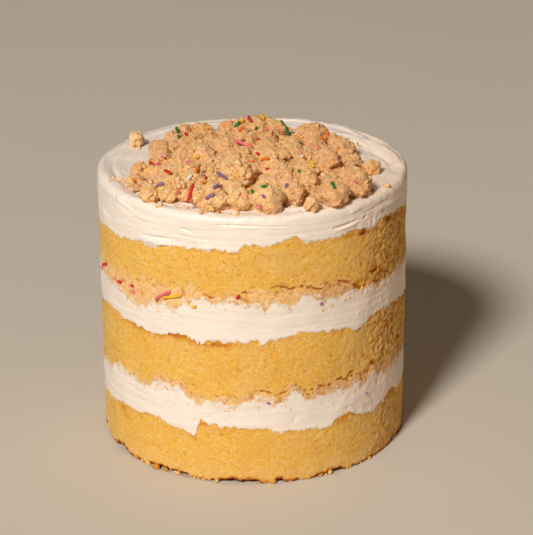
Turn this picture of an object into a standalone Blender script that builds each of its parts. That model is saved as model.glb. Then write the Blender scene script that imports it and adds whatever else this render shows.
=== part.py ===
"""A tall round birthday cake: sponge, frosting and crumb layers, with a heap of baked crumbs on top.

Metres, +Z up. The origin is the middle of the flat underside and the front faces -Y. An azimuth is in
degrees from the front and grows to the right, as the viewer at the front sees it.
"""
import math
import random

import bmesh
import bpy
from mathutils import Euler, Matrix, Vector, noise
from mathutils.bvhtree import BVHTree

MM = 0.001

# Driving dimensions
CAKE_RADIUS = 76.2 * MM
CAKE_HEIGHT = 137.2 * MM
GAP = 0.3 * MM
SLIVER = 0.001 * MM
STEPS_AROUND = 96
SEED = 11

# The frosted top: its rounded lip, its slight fall to the back, and the rings that carry its ridges
LIP_RADIUS = 3.0 * MM
LIP_ANGLES = (35, 65, 90)
TOP_RINGS = (70.5 * MM, 67.0 * MM, 63.0 * MM, 58.0 * MM, 48.0 * MM)
BACK_DROP = 1.0 * MM
HEAP_FLOOR = CAKE_HEIGHT + GAP

# The side of each kind of layer: how far it stands back, and how uneven it is
SPONGE_SIDE = (0.3 * MM, 0.8 * MM)
CRUMB_SIDE = (0.4 * MM, 1.4 * MM)
FROSTING_SIDE = (0.0 * MM, 0.5 * MM)
SIDE_LUMP = 7.0 * MM
SPONGE_ROWS = 3
FROSTING_ROWS = 2

# Height in millimetres of each seam where it shows, as (azimuth, height) pairs across the front half.
# Behind, the seam wanders about its mean height.
BOTTOM_SPONGE_TOP = (
    (-84, 22.5), (-70, 23.5), (-60, 28), (-50, 27), (-38, 29), (-31, 26), (-22, 24.3), (-18, 31.5),
    (0, 30), (10, 27.5), (21, 28), (27, 25.5), (33, 30), (43, 26.5), (52, 25), (63, 31), (74, 27),
)
LOWER_FROSTING_TOP = (
    (-84, 38), (-72, 41), (-60, 46), (-45, 44), (-36, 48.5), (-28, 48), (-20, 42), (-8, 42), (2, 46),
    (9, 42), (15, 49), (20, 44), (30, 45.5), (40, 47), (44, 44.5), (50, 48.5), (60, 43.5), (74, 44),
)
MIDDLE_SPONGE_TOP = (
    (-84, 73), (-65, 75.5), (-50, 74), (-40, 72), (-28, 75.7), (-17, 73), (0, 75.5), (10, 76.5),
    (20, 78.5), (28, 77), (40, 73.5), (54, 78), (65, 77), (76, 75),
)
MIDDLE_FROSTING_TOP = (
    (-84, 92), (-65, 89), (-50, 86), (-38, 87.5), (-30, 90), (-20, 96), (-15, 93), (-10, 96.5), (0, 94),
    (10, 93), (18, 96.3), (25, 93), (36, 96), (42, 93.3), (50, 94.5), (62, 93), (76, 92),
)
TOP_SPONGE_TOP = (
    (-84, 113), (-65, 116), (-45, 117.5), (-30, 120), (-12, 121), (-6, 120), (0, 124), (5, 123.5),
    (15, 127.5), (20, 124), (40, 124.5), (48, 122.5), (56, 124.5), (66, 124), (78, 122),
)
SEAM_WANDER = 2.2
WANDER_STEP = 13
SEAM_RIPPLE = 0.5 * MM
RIPPLES_AROUND = 9.0

# Thickness in millimetres of each crumb layer, as (azimuth, thickness) pairs
LOWER_CRUMBS = (
    (-84, 1.4), (-40, 1.4), (-20, 1.8), (-4, 3.6), (8, 4.2), (16, 1.8), (28, 2.6), (40, 2.2), (52, 2.4),
    (62, 4.4), (76, 2.8),
)
UPPER_CRUMBS = (
    (-84, 6), (-62, 9.5), (-46, 11), (-36, 11), (-26, 7.5), (-18, 4.5), (-10, 3), (2, 6), (10, 8), (18, 5.4),
    (28, 7), (38, 4.6), (50, 6.5), (62, 6.5), (76, 6),
)
CRUMB_WANDER = 1.0

# Ridges that the spatula left on the top: azimuth, radius and height at either end, and their half width
RIDGES = (
    ((80, 72.0), (132, 63.0), 1.7),
    ((-96, 71.5), (-58, 70.5), 1.1),
    ((-150, 64.0), (-100, 70.5), 0.9),
    ((146, 66.0), (206, 58.0), 1.0),
    ((196, 70.0), (240, 61.0), 0.8),
)
RIDGE_HALF_WIDTH = 2.6 * MM
RIDGE_MARGIN = 2.0 * MM
TOP_UNEVENNESS = 0.35 * MM
TOP_LUMP = 9.0 * MM

# Sprinkles: straight sugar strands
SPRINKLE_RADIUS = 0.65 * MM
SPRINKLE_SIDES = 5
SPRINKLE_SUNK = 0.25 * MM

# Strands stuck to the side of the upper crumbs: azimuth, height, length in millimetres, slope in degrees
SIDE_SPRINKLES = (
    (-70.5, 94.6, 8.0, 24),
    (-56.5, 92.2, 3.6, 14),
    (-49.0, 93.2, 2.4, 10),
    (-33.6, 93.9, 11.4, 34),
    (-29.6, 94.6, 11.0, 17),
)

# How far the heap's crumbs reach from the middle, as (azimuth, millimetres) pairs all round
HEAP_REACH = (
    (0, 70), (14, 66), (32, 69), (46, 70), (60, 64), (76, 55), (99, 46), (130, 42), (148, 36), (175, 40),
    (210, 47), (226, 50), (245, 50), (263, 50), (288, 58), (304, 66), (318, 69), (330, 66), (342, 69),
)
CORE_MARGIN = 4.5 * MM
CORE_STEPS = 40
CORE_RINGS = (1.0, 0.88, 0.7, 0.5, 0.27)
CORE_EDGE_HEIGHT = 3.4 * MM
CORE_HEIGHT = 9.5 * MM
CORE_LUMP = 9.0 * MM
CORE_UNEVENNESS = 4.0 * MM
CORE_SUNK = 2.0 * MM

# The large crumbs of the heap in millimetres: x, y, size across, and height of the middle over the frosting
LARGE_CRUMBS = (
    (-6, -43, 16.5, 8.0), (6.5, -65.5, 15.0, 5.8), (-5, -64, 10.5, 5.0), (18.5, -59, 10.5, 5.5),
    (-23, -60.5, 13.5, 5.5), (-15.5, -63, 11.0, 4.6), (38, -57.5, 12.5, 4.5), (49, -45, 15.0, 5.0),
    (35.5, -21, 15.0, 7.6), (44.5, 6, 11.5, 4.5), (30, 25.5, 14.5, 5.0), (18, 16, 6.5, 5.0),
    (3, 24, 13.0, 9.5), (-5, 25, 11.0, 8.5), (11.5, 24, 11.0, 8.8), (4, 32, 11.0, 8.6),
    (-13, 29, 8.0, 6.5), (-34, 32, 10.5, 4.6), (-26, 34, 10.5, 4.6), (-54, -20, 9.0, 3.4),
    (-54.5, -37, 9.0, 3.4), (-47.5, -51, 9.5, 3.6), (-40, -52, 7.5, 4.2), (50, -8, 7.0, 3.2),
    (-46, 12, 10.0, 3.8), (27, -35, 9.0, 7.5), (14, -37, 10.0, 7.0), (-28, -42, 10.5, 7.0),
)
FILL_CRUMBS = 32
FILL_SIZES = (7.5 * MM, 12.5 * MM)
FILL_CLEARANCE = 0.75
CRUMB_SQUASH = 0.85
CRUMB_LUMPINESS = 0.4
CRUMB_LUMPS = 1.6
CRUMB_STRETCH = (0.85, 1.15)

# Crumbs lying apart from the heap, in the same terms as the large crumbs
LOOSE_CRUMBS = (
    ("loose_crumb_back", -58, 27, 8.5, 3.5),
    ("loose_crumb_right", 57.5, -16.5, 8.0, 3.0),
    ("loose_crumb_front", 27.5, -67.0, 8.0, 3.2),
)
LOOSE_MARGIN = 5.0 * MM

# The longer strands lying on the heap: x, y and length in millimetres, and heading in degrees from +X
HEAP_SPRINKLES = (
    (-38, 34, 4, 80), (-6, 29, 6, 60), (17, 24, 7, 115), (24, -20, 4, 120), (6, -40, 4, 25),
    (42, -43, 4, 120), (-50, -8, 5, 50), (-31, -50, 9, 68), (0, 30, 5, 115), (-47, -5, 5, 60),
    (-6, 2, 10, -42), (-6, 24, 5, 30), (-27, -14, 7, 70), (-18, -62, 5, 30), (36, 28, 4, 70),
    (36, 17, 8, -50), (4, -12, 7, 20), (-28, 2, 5, -40), (28, -14, 6, -60), (-46, -43, 4, 0),
    (-14, -35, 5, -35), (-20, -57, 6, 20), (-33, -32, 5, 50),
)

# Colour and roughness of each food
SPONGE_LOOK = ((0.76, 0.45, 0.15), 0.85)
FROSTING_LOOK = ((0.90, 0.78, 0.60), 0.45)
CRUMB_LOOK = ((0.70, 0.43, 0.19), 0.9)
SMOOTH_BELOW = 40


def material(name, colour, roughness):
    """A food surface of one colour."""
    made = bpy.data.materials.new(name)
    made.use_nodes = True
    shader = made.node_tree.nodes["Principled BSDF"]
    shader.inputs["Base Color"].default_value = (*colour, 1.0)
    shader.inputs["Roughness"].default_value = roughness
    shader.inputs["Metallic"].default_value = 0.0
    return made


def add_object(name, mesh, look, collection):
    """A smooth-shaded object made from a bmesh, which is then freed."""
    data = bpy.data.meshes.new(name)
    mesh.to_mesh(data)
    mesh.free()
    data.materials.append(look)
    data.shade_smooth()
    data.set_sharp_from_angle(angle=math.radians(SMOOTH_BELOW))
    made = bpy.data.objects.new(name, data)
    collection.objects.link(made)
    return made


def on_circle(azimuth, radius, height):
    """The point at an azimuth in degrees, a radius and a height."""
    turn = math.radians(azimuth)
    return Vector((radius * math.sin(turn), -radius * math.cos(turn), height))


def azimuth_of(point):
    """The azimuth of a point, from 0 to 360."""
    return math.degrees(math.atan2(point.x, -point.y)) % 360


def eased(share):
    """A share from 0 to 1, slowed at either end."""
    share = min(max(share, 0.0), 1.0)
    return share * share * (3 - 2 * share)


def round_curve(points):
    """A function of the azimuth that eases from each (azimuth, value) pair to the next, all the way round."""
    ordered = sorted((azimuth % 360, value) for azimuth, value in points)

    def value_at(azimuth):
        azimuth %= 360
        after = next((i for i, pair in enumerate(ordered) if pair[0] > azimuth), 0)
        start, low = ordered[after - 1]
        end, high = ordered[after]
        span = (end - start) % 360
        return low + (high - low) * eased(((azimuth - start) % 360) / span)

    return value_at


def wandering(points, wander, rng):
    """A curve through the front's pairs, which wanders about their mean behind, and that mean."""
    mean = sum(value for _, value in points) / len(points)
    first = int(points[-1][0]) + WANDER_STEP
    last = int(points[0][0]) + 360 - WANDER_STEP // 2
    behind = [(azimuth, mean + rng.uniform(-wander, wander)) for azimuth in range(first, last, WANDER_STEP)]
    return round_curve(list(points) + behind), mean * MM


class Seam:
    """The surface between two layers: level in the middle, and following its curve at the side."""

    def __init__(self, points, rng, wander=SEAM_WANDER):
        self.curve, self.middle = wandering(points, wander, rng)
        self.offset = Vector((rng.uniform(0, 50), rng.uniform(0, 50), 0))

    def rim(self, azimuth):
        ripple = noise.noise(on_circle(azimuth, RIPPLES_AROUND, 0) + self.offset)
        return self.curve(azimuth) * MM + SEAM_RIPPLE * ripple

    def height(self, azimuth, radius):
        return self.middle + (self.rim(azimuth) - self.middle) * radius / CAKE_RADIUS


class RaisedSeam(Seam):
    """The top of a crumb layer, a varying thickness above the seam that it lies on."""

    def __init__(self, below, points, rng):
        super().__init__(points, rng, CRUMB_WANDER)
        self.middle += below.middle
        self.below = below

    def rim(self, azimuth):
        return self.below.rim(azimuth) + self.curve(azimuth) * MM


class Floor:
    """The flat underside of the cake."""

    def height(self, azimuth, radius):
        return -GAP / 2


def side_radius(azimuth, height, side):
    """How far the side stands out at one place, for a layer with this setback and roughness."""
    setback, roughness = side
    place = on_circle(azimuth, CAKE_RADIUS, height) / SIDE_LUMP
    return CAKE_RADIUS - setback - roughness / 2 + roughness * noise.noise(place)


def turned(profile, steps):
    """A closed bmesh from (radius, height) pairs turned about Z. The first and last pairs are on the axis."""
    mesh = bmesh.new()
    verts = [mesh.verts.new((radius, 0, height)) for radius, height in profile]
    edges = [mesh.edges.new(pair) for pair in zip(verts, verts[1:])]
    bmesh.ops.spin(
        mesh, geom=verts + edges, cent=(0, 0, 0), axis=(0, 0, 1), dvec=(0, 0, 0),
        angle=math.tau, steps=steps, use_merge=True,
    )
    bmesh.ops.remove_doubles(mesh, verts=mesh.verts, dist=0.001 * MM)
    bmesh.ops.recalc_face_normals(mesh, faces=mesh.faces)
    return mesh


def layer(below, above, rows, side):
    """A bmesh of one layer, between two seams and half a gap clear of each."""
    profile = [(0, 0)] + [(CAKE_RADIUS, row / rows) for row in range(rows + 1)] + [(0, 1)]
    mesh = turned(profile, STEPS_AROUND)
    for vert in mesh.verts:
        share = vert.co.z
        azimuth = azimuth_of(vert.co)
        radius = vert.co.xy.length
        level = below.height(azimuth, radius) * (1 - share) + above.height(azimuth, radius) * share
        if radius > 0:
            radius = side_radius(azimuth, level, side)
        low = below.height(azimuth, radius) + GAP / 2
        high = above.height(azimuth, radius) - GAP / 2
        vert.co = on_circle(azimuth, radius, low + (high - low) * share)
    return mesh


def ridge_height(azimuth, radius):
    """Height of the spatula's ridges over the flat top."""
    total = 0.0
    for (start, start_radius), (end, end_radius), height in RIDGES:
        share = ((azimuth - start) % 360) / (end - start)
        if share > 1:
            continue
        middle = (start_radius + (end_radius - start_radius) * share) * MM
        across = math.exp(-((radius - middle) / RIDGE_HALF_WIDTH) ** 2)
        total += height * MM * math.sin(math.pi * share) * across
    return total


def bare_share(point, reach):
    """How bare the frosting is: 0 under the heap and the loose crumbs, rising to 1 clear of them."""
    share = eased((point.xy.length - reach(azimuth_of(point)) * MM) / RIDGE_MARGIN)
    for _, x, y, across, _ in LOOSE_CRUMBS:
        distance = (point.xy - Vector((x, y)) * MM).length - across / 2 * MM
        share = min(share, eased(distance / LOOSE_MARGIN))
    return share


def top_relief(point, reach):
    """Height over the flat top of the frosting at one point, and its slight fall towards the back."""
    azimuth = azimuth_of(point)
    radius = point.xy.length
    uneven = TOP_UNEVENNESS * noise.noise(point / TOP_LUMP)
    fall = BACK_DROP * max(0.0, point.y / CAKE_RADIUS)
    return (ridge_height(azimuth, radius) + uneven - fall) * bare_share(point, reach)


def frosting_cap(seam, reach):
    """The top layer of frosting: an even side, a rounded lip and a spread top with ridges."""
    lip_foot = CAKE_HEIGHT - LIP_RADIUS
    rise = (lip_foot - seam.middle) / FROSTING_ROWS
    side = [(CAKE_RADIUS, seam.middle + rise * row) for row in range(FROSTING_ROWS + 1)]
    lip = []
    for degrees in LIP_ANGLES:
        turn = math.radians(degrees)
        lip.append((CAKE_RADIUS - LIP_RADIUS * (1 - math.cos(turn)), lip_foot + LIP_RADIUS * math.sin(turn)))
    rings = [(radius, CAKE_HEIGHT) for radius in TOP_RINGS]
    mesh = turned([(0, seam.middle)] + side + lip + rings + [(0, CAKE_HEIGHT)], STEPS_AROUND)
    for vert in mesh.verts:
        azimuth = azimuth_of(vert.co)
        radius = vert.co.xy.length
        height = vert.co.z
        if height > lip_foot + GAP:
            vert.co.z += top_relief(vert.co, reach)
            continue
        share = (height - seam.middle) / (lip_foot - seam.middle)
        if radius > 0:
            radius = side_radius(azimuth, height, FROSTING_SIDE)
        low = seam.height(azimuth, radius) + GAP / 2
        vert.co = on_circle(azimuth, radius, low + (lip_foot - low) * share)
    return mesh


def strand(length):
    """A bmesh of one sprinkle along X."""
    mesh = bmesh.new()
    bmesh.ops.create_cone(
        mesh, cap_ends=True, segments=SPRINKLE_SIDES, radius1=SPRINKLE_RADIUS, radius2=SPRINKLE_RADIUS,
        depth=length, matrix=Matrix.Rotation(math.pi / 2, 4, "Y"),
    )
    return mesh


def laid_on(place, normal, along):
    """The frame of a strand that lies on a surface: X along it, Z out of the surface, and sunk a little."""
    out = normal.normalized()
    x_axis = (along - out * along.dot(out)).normalized()
    y_axis = out.cross(x_axis)
    frame = Matrix((x_axis, y_axis, out)).transposed().to_4x4()
    frame.translation = place + out * (SPRINKLE_RADIUS - SPRINKLE_SUNK)
    return frame


def side_strand(azimuth, height, length, slope):
    """A strand stuck to the side of the upper crumbs."""
    radius = side_radius(azimuth, height * MM, CRUMB_SIDE)
    out = on_circle(azimuth, 1, 0)
    along = out.cross(Vector((0, 0, -1))) * math.cos(math.radians(slope))
    along += Vector((0, 0, 1)) * math.sin(math.radians(slope))
    mesh = strand(length * MM)
    mesh.transform(laid_on(on_circle(azimuth, radius, height * MM), out, along))
    return mesh


def ball(across):
    """A bmesh ball of 80 triangles."""
    mesh = bmesh.new()
    bmesh.ops.create_icosphere(mesh, subdivisions=2, radius=across / 2)
    return mesh


def coarse_ball(across):
    """A bmesh ball of 24 four-sided faces."""
    mesh = bmesh.new()
    bmesh.ops.create_cube(mesh, size=across)
    bmesh.ops.subdivide_edges(mesh, edges=mesh.edges, cuts=1, use_grid_fill=True)
    for vert in mesh.verts:
        vert.co = vert.co.normalized() * across / 2
    return mesh


def crumb(mesh, x, y, height, rng):
    """Make a ball into a lumpy baked crumb, with its middle at a place and a height over the heap's floor."""
    offset = Vector([rng.uniform(0, 100) for _ in range(3)])
    for vert in mesh.verts:
        vert.co *= 1 + CRUMB_LUMPINESS * noise.noise(vert.co.normalized() * CRUMB_LUMPS + offset)
    turn = Euler([rng.uniform(0, math.tau) for _ in range(3)]).to_matrix().to_4x4()
    stretch = Matrix.Diagonal((rng.uniform(*CRUMB_STRETCH), rng.uniform(*CRUMB_STRETCH), CRUMB_SQUASH, 1))
    mesh.transform(Matrix.Translation((x, y, HEAP_FLOOR + height)) @ stretch @ turn)
    return mesh


def core_height(radius, edge):
    """Height of the heap's core over its floor, at a radius within its edge."""
    return CORE_EDGE_HEIGHT + (CORE_HEIGHT - CORE_EDGE_HEIGHT) * (1 - (radius / edge) ** 2)


def heap_core(reach):
    """A low uneven mound inside the heap's outline, which runs a little below the heap's floor."""
    rings = [(share, 1 - share) for share in CORE_RINGS]
    mesh = turned([(0, -CORE_SUNK), (1, -CORE_SUNK)] + rings + [(0, 1)], CORE_STEPS)
    for vert in mesh.verts:
        azimuth = azimuth_of(vert.co)
        edge = reach(azimuth) * MM - CORE_MARGIN
        radius = vert.co.xy.length * edge
        height = vert.co.z
        if height >= 0:
            height = core_height(radius, edge)
            height += CORE_UNEVENNESS * noise.noise(on_circle(azimuth, radius, 0) / CORE_LUMP)
        vert.co = on_circle(azimuth, radius, HEAP_FLOOR + height)
    return mesh


def fill_places(reach, rng):
    """Places for the smaller crumbs, spread evenly over the mound where no large crumb lies."""
    golden = math.degrees(math.pi * (3 - math.sqrt(5)))
    taken = [(Vector((x, y)) * MM, across * MM) for x, y, across, _ in LARGE_CRUMBS]
    places = []
    tries = 0
    while len(places) < FILL_CRUMBS and tries < 40 * FILL_CRUMBS:
        tries += 1
        azimuth = (tries * golden) % 360
        edge = reach(azimuth) * MM - CORE_MARGIN
        radius = edge * math.sqrt(rng.uniform(0, 1))
        spot = on_circle(azimuth, radius, 0).xy
        size = rng.uniform(*FILL_SIZES)
        if all((spot - other).length > FILL_CLEARANCE * (size + width) / 2 for other, width in taken):
            taken.append((spot, size))
            places.append((spot, size, core_height(radius, edge)))
    return places


def heap_pieces(reach, rng):
    """The heap's separate shapes: its core, its crumbs and the strands that lie on them."""
    pieces = [heap_core(reach)]
    for x, y, across, height in LARGE_CRUMBS:
        pieces.append(crumb(ball(across * MM), x * MM, y * MM, height * MM, rng))
    for spot, size, height in fill_places(reach, rng):
        pieces.append(crumb(coarse_ball(size), spot.x, spot.y, height, rng))
    surfaces = [BVHTree.FromBMesh(piece) for piece in pieces]
    for x, y, length, heading in HEAP_SPRINKLES:
        above = Vector((x * MM, y * MM, 2 * CAKE_HEIGHT))
        hits = [tree.ray_cast(above, Vector((0, 0, -1))) for tree in surfaces]
        hits = [hit for hit in hits if hit[0] is not None and hit[0].z > HEAP_FLOOR]
        if not hits:
            continue
        place, normal, _, _ = max(hits, key=lambda hit: hit[0].z)
        along = Vector((math.cos(math.radians(heading)), math.sin(math.radians(heading)), 0))
        mesh = strand(length * MM)
        mesh.transform(laid_on(place, normal, along))
        pieces.append(mesh)
    return pieces


def kept_body(data):
    """Keep the largest connected body of a mesh, without sealed hollows and loose scraps."""
    mesh = bmesh.new()
    mesh.from_mesh(data)
    bmesh.ops.dissolve_degenerate(mesh, edges=mesh.edges, dist=SLIVER)
    bmesh.ops.triangulate(mesh, faces=[face for face in mesh.faces if len(face.verts) > 3])
    unseen = set(mesh.verts)
    bodies = []
    while unseen:
        body = set()
        front = [next(iter(unseen))]
        while front:
            vert = front.pop()
            if vert in body:
                continue
            body.add(vert)
            front.extend(edge.other_vert(vert) for edge in vert.link_edges)
        bodies.append(body)
        unseen -= body
    bodies.sort(key=len)
    scraps = [vert for body in bodies[:-1] for vert in body]
    bmesh.ops.delete(mesh, geom=scraps, context="VERTS")
    return mesh


def fused(name, base, pieces, look, parts, floor=None):
    """One solid: the base with the pieces united to it, cut flat at the floor where one is given."""
    joined = bpy.data.collections.new(name + "_pieces")
    bpy.context.scene.collection.children.link(joined)
    helpers = [add_object(name + "_piece", piece, look, joined) for piece in pieces]
    made = add_object(name, base, look, parts)
    union = made.modifiers.new("union", "BOOLEAN")
    union.operation = "UNION"
    union.operand_type = "COLLECTION"
    union.collection = joined
    union.solver = "EXACT"
    if floor is not None:
        slab = bmesh.new()
        depth = 20 * MM
        bmesh.ops.create_cube(slab, size=1, matrix=Matrix.LocRotScale(
            Vector((0, 0, floor - depth / 2)), None, Vector((3 * CAKE_RADIUS, 3 * CAKE_RADIUS, depth))))
        cutters = bpy.data.collections.new(name + "_cutters")
        bpy.context.scene.collection.children.link(cutters)
        cutter = add_object(name + "_floor", slab, look, cutters)
        cut = made.modifiers.new("floor", "BOOLEAN")
        cut.operation = "DIFFERENCE"
        cut.object = cutter
        cut.solver = "EXACT"
        helpers.append(cutter)
    bpy.context.view_layer.update()
    evaluated = made.evaluated_get(bpy.context.evaluated_depsgraph_get())
    whole = kept_body(bpy.data.meshes.new_from_object(evaluated))
    made.modifiers.clear()
    whole.to_mesh(made.data)
    whole.free()
    for helper in helpers:
        bpy.data.objects.remove(helper, do_unlink=True)
    return made


def loose_crumb(x, y, across, height, rng):
    """A crumb that lies apart on the frosting, with a flat underside."""
    mesh = crumb(ball(across * MM), x * MM, y * MM, height * MM, rng)
    for vert in mesh.verts:
        vert.co.z = max(vert.co.z, HEAP_FLOOR)
    return mesh


def build_layers(parts, reach, rng):
    """The eight layers, from the bottom sponge to the frosting on top."""
    sponge = material("sponge", *SPONGE_LOOK)
    frosting = material("frosting", *FROSTING_LOOK)
    crumbs = material("crumbs", *CRUMB_LOOK)
    bottom = Seam(BOTTOM_SPONGE_TOP, rng)
    lower = Seam(LOWER_FROSTING_TOP, rng)
    lower_crumbs = RaisedSeam(lower, LOWER_CRUMBS, rng)
    middle = Seam(MIDDLE_SPONGE_TOP, rng)
    upper = Seam(MIDDLE_FROSTING_TOP, rng)
    upper_crumbs = RaisedSeam(upper, UPPER_CRUMBS, rng)
    top = Seam(TOP_SPONGE_TOP, rng)
    add_object("cake_layer_bottom", layer(Floor(), bottom, SPONGE_ROWS, SPONGE_SIDE), sponge, parts)
    add_object("frosting_lower", layer(bottom, lower, FROSTING_ROWS, FROSTING_SIDE), frosting, parts)
    add_object("crumb_layer_lower", layer(lower, lower_crumbs, 1, CRUMB_SIDE), crumbs, parts)
    add_object("cake_layer_middle", layer(lower_crumbs, middle, SPONGE_ROWS, SPONGE_SIDE), sponge, parts)
    add_object("frosting_middle", layer(middle, upper, FROSTING_ROWS, FROSTING_SIDE), frosting, parts)
    stuck = [side_strand(*row) for row in SIDE_SPRINKLES]
    fused("crumb_layer_upper", layer(upper, upper_crumbs, 2, CRUMB_SIDE), stuck, crumbs, parts)
    add_object("cake_layer_top", layer(upper_crumbs, top, SPONGE_ROWS, SPONGE_SIDE), sponge, parts)
    add_object("frosting_top", frosting_cap(top, reach), frosting, parts)
    return crumbs


def build_topping(parts, reach, crumbs, rng):
    """The heap of crumbs, and the crumbs that lie apart from it."""
    core, *pieces = heap_pieces(reach, rng)
    fused("crumb_topping", core, pieces, crumbs, parts, HEAP_FLOOR)
    for name, *place in LOOSE_CRUMBS:
        add_object(name, loose_crumb(*place, rng), crumbs, parts)


def main():
    for old in list(bpy.data.objects):
        bpy.data.objects.remove(old, do_unlink=True)
    parts = bpy.data.collections.new("birthday_cake")
    bpy.context.scene.collection.children.link(parts)
    rng = random.Random(SEED)
    reach = round_curve(HEAP_REACH)
    crumbs = build_layers(parts, reach, rng)
    build_topping(parts, reach, crumbs, rng)


main()
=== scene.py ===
"""The looks of a tall round birthday cake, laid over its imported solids.

Metres, +Z up. The front faces -Y, and an azimuth is in degrees from the front, growing to the right.
Each layer is a fine closed surface that follows the edges of its own solid.
"""
import itertools
import math

import bmesh
import bpy
import numpy as np
from mathutils import Matrix, Quaternion, Vector
from mathutils.bvhtree import BVHTree


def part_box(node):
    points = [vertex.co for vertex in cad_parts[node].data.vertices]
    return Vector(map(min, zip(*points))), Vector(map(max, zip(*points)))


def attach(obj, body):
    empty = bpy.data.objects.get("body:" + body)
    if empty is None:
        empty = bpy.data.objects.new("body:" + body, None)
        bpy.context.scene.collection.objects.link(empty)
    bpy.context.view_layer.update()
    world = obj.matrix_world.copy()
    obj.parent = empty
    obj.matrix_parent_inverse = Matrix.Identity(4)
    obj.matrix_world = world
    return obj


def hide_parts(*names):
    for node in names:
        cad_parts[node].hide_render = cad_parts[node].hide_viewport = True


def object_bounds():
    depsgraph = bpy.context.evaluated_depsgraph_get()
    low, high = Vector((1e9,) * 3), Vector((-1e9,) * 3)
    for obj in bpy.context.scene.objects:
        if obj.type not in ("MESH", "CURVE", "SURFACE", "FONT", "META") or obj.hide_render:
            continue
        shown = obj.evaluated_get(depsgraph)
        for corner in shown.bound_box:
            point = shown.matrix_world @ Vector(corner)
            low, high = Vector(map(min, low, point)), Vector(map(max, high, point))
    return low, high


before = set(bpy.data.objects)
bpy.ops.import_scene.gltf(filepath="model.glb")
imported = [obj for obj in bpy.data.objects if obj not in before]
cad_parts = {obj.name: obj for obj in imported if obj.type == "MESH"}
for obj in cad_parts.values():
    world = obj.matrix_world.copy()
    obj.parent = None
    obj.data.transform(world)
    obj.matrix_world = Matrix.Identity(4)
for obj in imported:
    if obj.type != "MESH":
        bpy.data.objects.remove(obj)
cad_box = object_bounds()

MM = 0.001

# Sizes taken from the frame, and the gap between two solids
SOLID_GAP = 0.3 * MM
CAKE_RADIUS = (cad_box[1].x - cad_box[0].x) / 2
HEAP_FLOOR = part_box("crumb_topping")[0].z
CAKE_TOP = HEAP_FLOOR - SOLID_GAP
SKY = 2 * CAKE_TOP

# Points farther from the axis than this are on the edge of a layer
EDGE_RADIUS = 0.9 * CAKE_RADIUS

# Fineness of the turned surfaces. The solids have RIM_STEPS points round their edges.
RIM_STEPS = 96
COLUMNS = 8 * RIM_STEPS
SPONGE_ROWS = 44
CREAM_ROWS = 30
CAP_ROWS = 44
CRUMB_ROWS = 16
THIN_CRUMB_ROWS = 8
ROW_CROWDING = 0.25
SEAM_GAP = 0.02 * MM
BASE_LIFT = 0.05 * MM

# The lip of the frosted top, and its rings
LIP_RADIUS = 3.0 * MM
LIP_ANGLES = np.radians((12, 24, 36, 48, 60, 72, 84))
TOP_RING_STEP = 0.8 * MM
HIDDEN_RADIUS = 41 * MM
HIDDEN_RING_STEP = 4.0 * MM
INNERMOST_RING = 4.0 * MM
RAY_MARGIN = 0.05 * MM
ROUND_SOFTENING = 10
OUTWARD_SOFTENING = 3

# The side of the cap waves from this far below its lip. The ridges on its top are this wide.
CAP_WAVE_REACH = 6 * MM
RIDGE_WIDTH = 2.6 * MM

# Camera: its lens, distance and angle, the point that it looks at, and a slight turn about its own axis
LENS = 141.15
SENSOR = 36
CAMERA_DISTANCE = 1.05
CAMERA_ELEVATION = math.radians(22.29)
CAMERA_TARGET = Vector((0.0067, 0, 0.08172))
CAMERA_ROLL = -0.0063

# Long marks of the spatula on the side of the top frosting: azimuth and height at either end, how far
# the mark stands out, and its half width. Heights and widths are in millimetres.
SIDE_MARKS = (
    (-12, 133.5, 4, 133.2, -0.7, 0.4), (2, 133.0, 14, 132.4, -0.4, 0.35),
    (-25.5, 129.8, -21, 128.3, -0.9, 0.5), (-42, 131.9, -33, 131.7, -0.5, 0.35),
    (-57, 134.2, -48, 132.2, 0.8, 0.6), (-47, 130.6, -38, 129.8, 0.4, 0.6),
    (-42.5, 121.7, -29.5, 123.4, -1.4, 0.45), (29.5, 127.9, 40, 129.3, -1.2, 0.45),
    (30.5, 126.6, 41, 128.0, 0.5, 0.6), (-64, 129.5, -50, 126.5, -0.35, 0.4),
    (-13, 136.4, 5, 136.6, -0.35, 0.4), (-30, 126.2, -14, 125.4, -0.25, 0.4),
    (36.5, 133.8, 44, 134.9, 0.55, 0.5), (54.0, 128.0, 56.4, 128.4, -1.2, 0.6),
    (43.0, 129.2, 44.8, 129.7, -1.2, 0.6), (16.5, 127.2, 22.5, 123.4, 0.6, 0.8),
    (5, 131.9, 12.6, 129.7, -0.3, 0.3), (43, 131.6, 60, 133.2, -0.45, 0.45),
    (50, 130.0, 68, 131.0, 0.4, 0.6), (-84, 126, -60, 122.5, -0.35, 0.6),
    (100, 130, 140, 128, -0.5, 0.5), (170, 127, 215, 131, -0.45, 0.5),
    (230, 131, 262, 128, -0.5, 0.4), (205, 124, 240, 126, 0.4, 0.6),
)

# Swells of the top frosting's side: azimuth, height, half width in degrees, and half height and rise in
# millimetres
SIDE_SWELLS = (
    (-36.5, 120.2, 6.0, 1.8, 1.3), (-8, 120.6, 1.1, 1.8, 0.5), (-15.5, 121.4, 2.4, 1.2, 0.45),
    (46.7, 125.2, 0.8, 2.6, 0.5), (49.5, 124.2, 0.8, 2.1, 0.45), (52.3, 123.8, 0.7, 1.8, 0.4),
    (60, 131.0, 2.5, 1.5, 0.35), (-70, 121, 5, 2.5, 0.3), (120, 124, 6, 2.5, 0.5), (200, 122, 5, 2.5, 0.5),
)

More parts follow.
